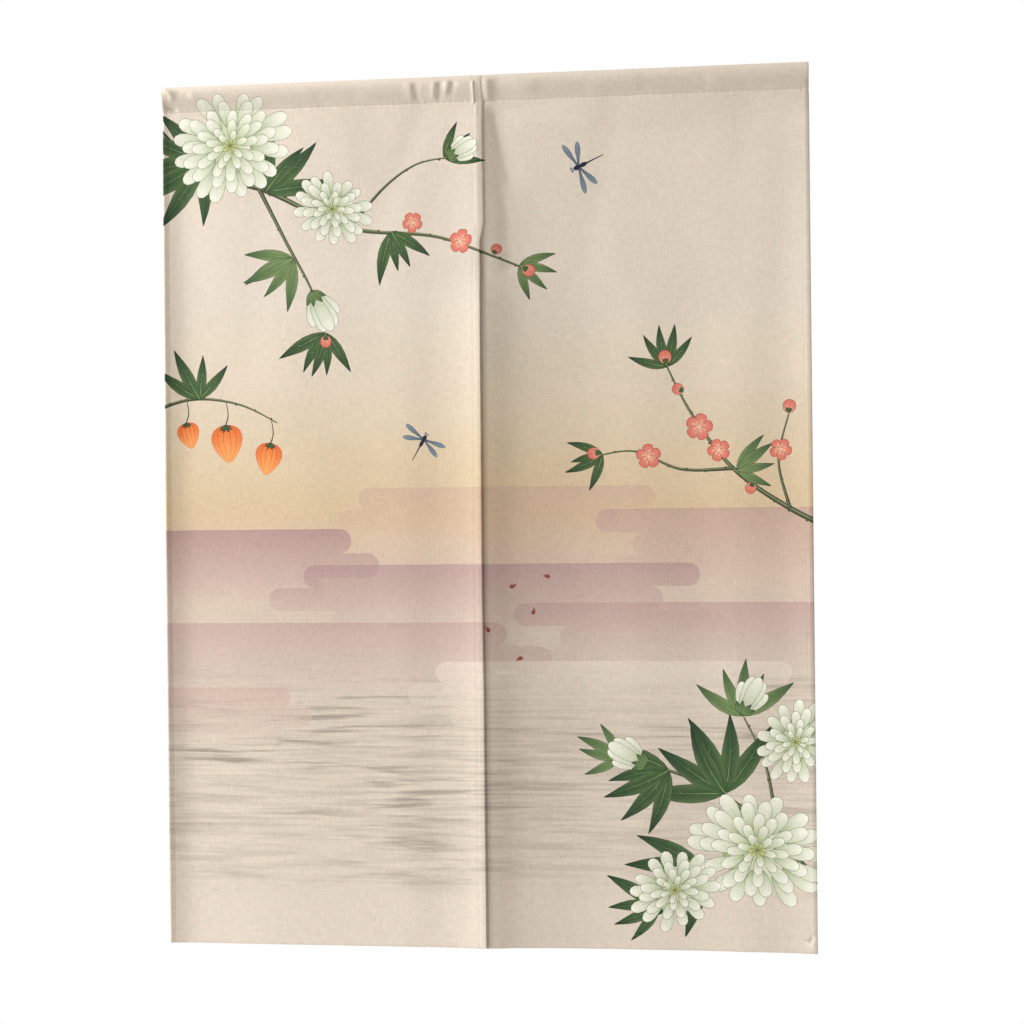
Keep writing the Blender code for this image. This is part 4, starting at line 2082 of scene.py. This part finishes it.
def mottle_group() -> bpy.types.NodeTree:
    """Ink that took unevenly: a tint about white, in patches from a few millimetres to a hand's width.

    Returns:
        The group.
    """
    inputs = {"Patches": 9.0, "Specks": 150.0, "Amount": 0.06}
    table, given = new_group(GroupKind.MOTTLE, inputs, {"Tint": "NodeSocketColor"})
    place, amount = given["Place"], given["Amount"]
    wide = table.uneven(place, given["Patches"], 3.0)
    small = table.uneven(place, given["Specks"], 2.0)
    elsewhere, speck_share, green_turn, blue_turn = (3.1, 7.7, 0.0), 1.1, -0.4, -0.2
    moved = table.add("ShaderNodeVectorMath", {0: place, 1: elsewhere}, operation="ADD").outputs[0]
    hue = table.uneven(moved, given["Specks"], 2.0)
    both = table.maths("ADD", wide, table.maths("MULTIPLY", small, speck_share))
    tone = table.maths("MULTIPLY_ADD", both, amount, 1.0)
    warm = table.maths("MULTIPLY", hue, amount)
    red = table.maths("ADD", tone, warm)
    green = table.maths("MULTIPLY_ADD", warm, green_turn, tone)
    blue = table.maths("MULTIPLY_ADD", warm, blue_turn, tone)
    tint = table.add("ShaderNodeCombineColor", {0: red, 1: green, 2: blue})
    table.add("NodeGroupOutput", {"Tint": tint.outputs[0]})
    return table.tree


# The printed water's streaks: how often they change across and down, the noise at which they start and are
# full, and their strength. They are fine streaks, wide ones, and the patches that hold the wide ones.
STREAKS = (
    ((7.0, 520.0, 1.0), -0.14, 0.22, 0.55),
    ((6.0, 290.0, 1.0), -0.02, 0.24, 1.4),
    ((2.2, 50.0, 1.0), -0.22, 0.14, 1.0),
)
HORIZON = 1.30  # the streaks grow finer upwards, counted from this far under the top


def ripple_group() -> bpy.types.NodeTree:
    """Slow water at the foot of the print: level streaks with soft edges, from 0 for none upwards.

    Returns:
        The group.
    """
    inputs = {"Top": -0.75, "Full": -0.90, "Last": -1.08, "Foot": -1.14}
    table, given = new_group(GroupKind.RIPPLE, inputs, {"Shade": "NodeSocketFloat"})
    across, height = table.parts(given["Place"])
    depth = table.smooth(height, given["Top"], given["Full"])
    shallow = table.smooth(height, given["Foot"], given["Last"])
    above = table.maths("ADD", height, HORIZON)
    nearer = table.maths("MULTIPLY", table.maths("MULTIPLY", above, above), 0.5)
    place = table.add("ShaderNodeCombineXYZ", {0: across, 1: nearer}).outputs[0]
    fine, wide, patches = (
        table.smooth(table.uneven(table.times(place, stretch), 1.0, 2.0), least, full, share)
        for stretch, least, full, share in STREAKS
    )
    streaks = table.maths("MULTIPLY_ADD", wide, patches, fine)
    inside = table.maths("MULTIPLY", depth, shallow)
    table.add("NodeGroupOutput", {"Shade": table.maths("MULTIPLY", inside, streaks)})
    return table.tree


def new_finish(name: str) -> tuple[bpy.types.Material, NodeTable, bpy.types.Node]:
    """An empty finish.

    Args:
        name: the material's name.

    Returns:
        The material, its table and its shader.
    """
    made = bpy.data.materials.new(name)
    made.use_nodes = True
    return made, NodeTable(made.node_tree), made.node_tree.nodes["Principled BSDF"]


@dataclass(frozen=True)
class ClothFinish:
    """A matt woven cloth that takes its colour from the print.

    Args:
        name: the material's name.
        threads: threads in a metre.
        slub: how much lighter and darker its threads are.
        bump: how strongly the threads stand out.
        mottle: how uneven the ink is.
        ripple: how dark the printed water's streaks are.
        roughness: how matt it is.
        sheen: light that the loose fibres catch.
    """

    name: str
    threads: float
    slub: float
    bump: float
    mottle: float
    ripple: float
    roughness: float
    sheen: float = 0.12

    def material(self, groups: dict[GroupKind, bpy.types.NodeTree]) -> bpy.types.Material:
        """The finish as a material.

        Args:
            groups: the shared shader groups.

        Returns:
            The material.
        """
        made, table, shader = new_finish(self.name)
        place = {"Place": table.add("ShaderNodeUVMap", uv_map=CLOTH_MAP).outputs[0]}
        ink = table.add("ShaderNodeVertexColor", layer_name=INK_ATTRIBUTE).outputs["Color"]
        bare = table.add("ShaderNodeAttribute", attribute_name=BARE_ATTRIBUTE).outputs["Fac"]
        settings = {
            GroupKind.WEAVE: {"Threads": self.threads, "Slub": self.slub},
            GroupKind.MOTTLE: {"Amount": self.mottle},
            GroupKind.RIPPLE: {},
        }
        weave, mottle, water = (table.add("ShaderNodeGroup", node_tree=groups[kind]) for kind in settings)
        for group, values in zip((weave, mottle, water), settings.values()):
            table.fill(group, place | values)
        tinted = table.times(table.scaled(ink, weave.outputs["Tone"]), mottle.outputs["Tint"])
        shade = table.maths("MULTIPLY", table.maths("MULTIPLY", water.outputs["Shade"], bare), -self.ripple)
        woven = weave.outputs["Height"]
        bump = table.add("ShaderNodeBump", {"Strength": self.bump, "Distance": 0.0003, "Height": woven})
        table.fill(shader, {
            "Base Color": table.scaled(tinted, table.maths("ADD", shade, 1.0)),
            "Roughness": table.maths("MULTIPLY_ADD", woven, -0.06, self.roughness),
            "Normal": bump.outputs[0],
            "Metallic": 0.0,
            "Specular IOR Level": 0.25,
            "Sheen Weight": self.sheen,
            "Sheen Roughness": 0.5,
        })
        return made


@dataclass(frozen=True)
class ThreadFinish:
    """Twisted sewing thread, a touch lighter than the cloth."""

    name: str = "sewing_thread"
    colour: Colour = shade(222, 211, 196)
    dark: Colour = shade(196, 183, 165)
    twist: float = 1400.0

    def material(self) -> bpy.types.Material:
        """The finish as a material.

        Returns:
            The material.
        """
        made, table, shader = new_finish(self.name)
        place = table.add("ShaderNodeTexCoord").outputs["Object"]
        inputs = {"Vector": place, "Scale": self.twist, "Detail": 1.0}
        wave = table.add("ShaderNodeTexNoise", inputs).outputs[0]
        mix = table.add("ShaderNodeMix", {"Factor": wave}, data_type="RGBA")
        table.fill(mix, {"A": (*self.dark, 1.0), "B": (*self.colour, 1.0)})
        bump = table.add("ShaderNodeBump", {"Strength": 0.4, "Distance": 0.0001, "Height": wave})
        table.fill(shader, {
            "Base Color": mix.outputs["Result"],
            "Roughness": 0.75,
            "Normal": bump.outputs[0],
            "Sheen Weight": 0.1,
        })
        return made


@dataclass
class Noren:
    """The whole curtain: both printed sheets and their sewing."""

    design: Print = field(default_factory=Print)

    def build(self) -> None:
        """Builds and dresses every piece, and attaches it to the root body."""
        self.design.compose()
        groups = {
            GroupKind.WEAVE: weave_group(),
            GroupKind.MOTTLE: mottle_group(),
            GroupKind.RIPPLE: ripple_group(),
        }
        printed = ClothFinish("printed_linen", 1700.0, 0.16, 0.30, 0.11, 0.28, 0.90).material(groups)
        reverse = ClothFinish("linen_reverse", 1700.0, 0.22, 0.36, 0.08, 0.08, 0.94).material(groups)
        thread = ThreadFinish().material()
        for panel in (LEFT, RIGHT):
            cloth = PrintedSheet(panel, self.design).build()
            cloth.data.materials.append(printed)
            cloth.data.materials.append(reverse)
            sewing = panel_sewing(panel).build(panel.name.replace("cloth", "stitching"))
            sewing.data.materials.append(thread)
            for piece in (cloth, sewing):
                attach(piece, "root")
            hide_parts(panel.node)
            panel.flat_size()


@dataclass(frozen=True)
class SoftLight:
    """A square studio lamp that is aimed at a place on the curtain."""

    name: str
    place: Point
    aim: Point
    size: float
    watts: float
    colour: Colour = (1.0, 1.0, 1.0)

    def build(self) -> None:
        """Puts the lamp into the scene."""
        lamp = bpy.data.lights.new(self.name, "AREA")
        lamp.size = self.size
        lamp.energy = self.watts
        lamp.color = self.colour
        made = add_object(self.name, lamp)
        made.location = self.place
        made.rotation_euler = (Vector(self.aim) - Vector(self.place)).to_track_quat("-Z", "Y").to_euler()


@dataclass(frozen=True)
class Studio:
    """A pale floor, soft lamps, a pale surround and the camera at the photo's angle."""

    floor_height: float = -1.95
    floor_radius: float = 2.2
    floor_corners: int = 96
    floor_colour: Colour = (0.86, 0.86, 0.85)
    surround: Colour = (0.33, 0.30, 0.265)
    camera_place: Point = (0.4612, -2.8706, -0.5931)
    camera_turn: float = 8.335  # degrees to the left of straight ahead
    camera_dip: float = 0.156
    camera_roll: float = -0.622
    lens: float = 74.31
    lamps: tuple[SoftLight, ...] = (
        SoftLight("key", (-4.25, -1.12, 1.10), (0.0, 0.0, -0.6), 1.7, 465.0),
        SoftLight("fill", (1.2, -4.2, 0.6), (0.0, 0.0, -0.6), 2.4, 12.0),
        SoftLight("behind", (0.8, 3.2, 1.2), (0.0, 0.0, -0.6), 2.4, 60.0),
    )

    def build(self) -> None:
        """Builds the stage, the lamps and the camera."""
        self.build_floor()
        self.build_surround()
        for lamp in self.lamps:
            lamp.build()
        self.build_camera()

    def build_floor(self) -> None:
        """A round pale floor under the hanging curtain."""
        turn = np.linspace(0, math.tau, self.floor_corners, endpoint=False)
        ring = np.stack([np.cos(turn), np.sin(turn), np.zeros_like(turn)], axis=1) * self.floor_radius
        mesh = bpy.data.meshes.new("floor")
        mesh.from_pydata((ring + [0, 0, self.floor_height]).tolist(), [], [list(range(len(ring)))])
        finish, table, shader = new_finish("pale_floor")
        table.fill(shader, {"Base Color": (*self.floor_colour, 1.0), "Roughness": 0.8})
        mesh.materials.append(finish)
        add_object("floor", mesh)

    def build_surround(self) -> None:
        """White to look at, and a softer grey as light."""
        world = bpy.data.worlds.new("surround")
        world.use_nodes = True
        bpy.context.scene.world = world
        table = NodeTable(world.node_tree)
        seen = table.add("ShaderNodeLightPath").outputs["Is Camera Ray"]
        mix = table.add("ShaderNodeMix", {"Factor": seen}, data_type="RGBA")
        table.fill(mix, {"A": (*self.surround, 1.0), "B": (1.0, 1.0, 1.0, 1.0)})
        table.fill(world.node_tree.nodes["Background"], {"Color": mix.outputs["Result"]})

    def build_camera(self) -> None:
        """The camera, a little to the right of the curtain's middle."""
        data = bpy.data.cameras.new("camera")
        data.lens = self.lens
        camera = add_object("camera", data)
        turn, dip = math.radians(self.camera_turn), math.radians(self.camera_dip)
        ahead = Vector((-math.sin(turn) * math.cos(dip), math.cos(turn) * math.cos(dip), -math.sin(dip)))
        level = ahead.to_track_quat("-Z", "Y")
        camera.location = self.camera_place
        camera.rotation_euler = (level @ Quaternion((0, 0, 1), math.radians(self.camera_roll))).to_euler()
        bpy.context.scene.camera = camera
        bpy.context.scene.view_settings.view_transform = "Standard"


def main() -> None:
    """Builds the curtain and the studio."""
    logging.basicConfig(level=logging.INFO, format="%(name)s: %(message)s")
    Noren().build()
    Studio().build()


if __name__ == "__main__":
    main()
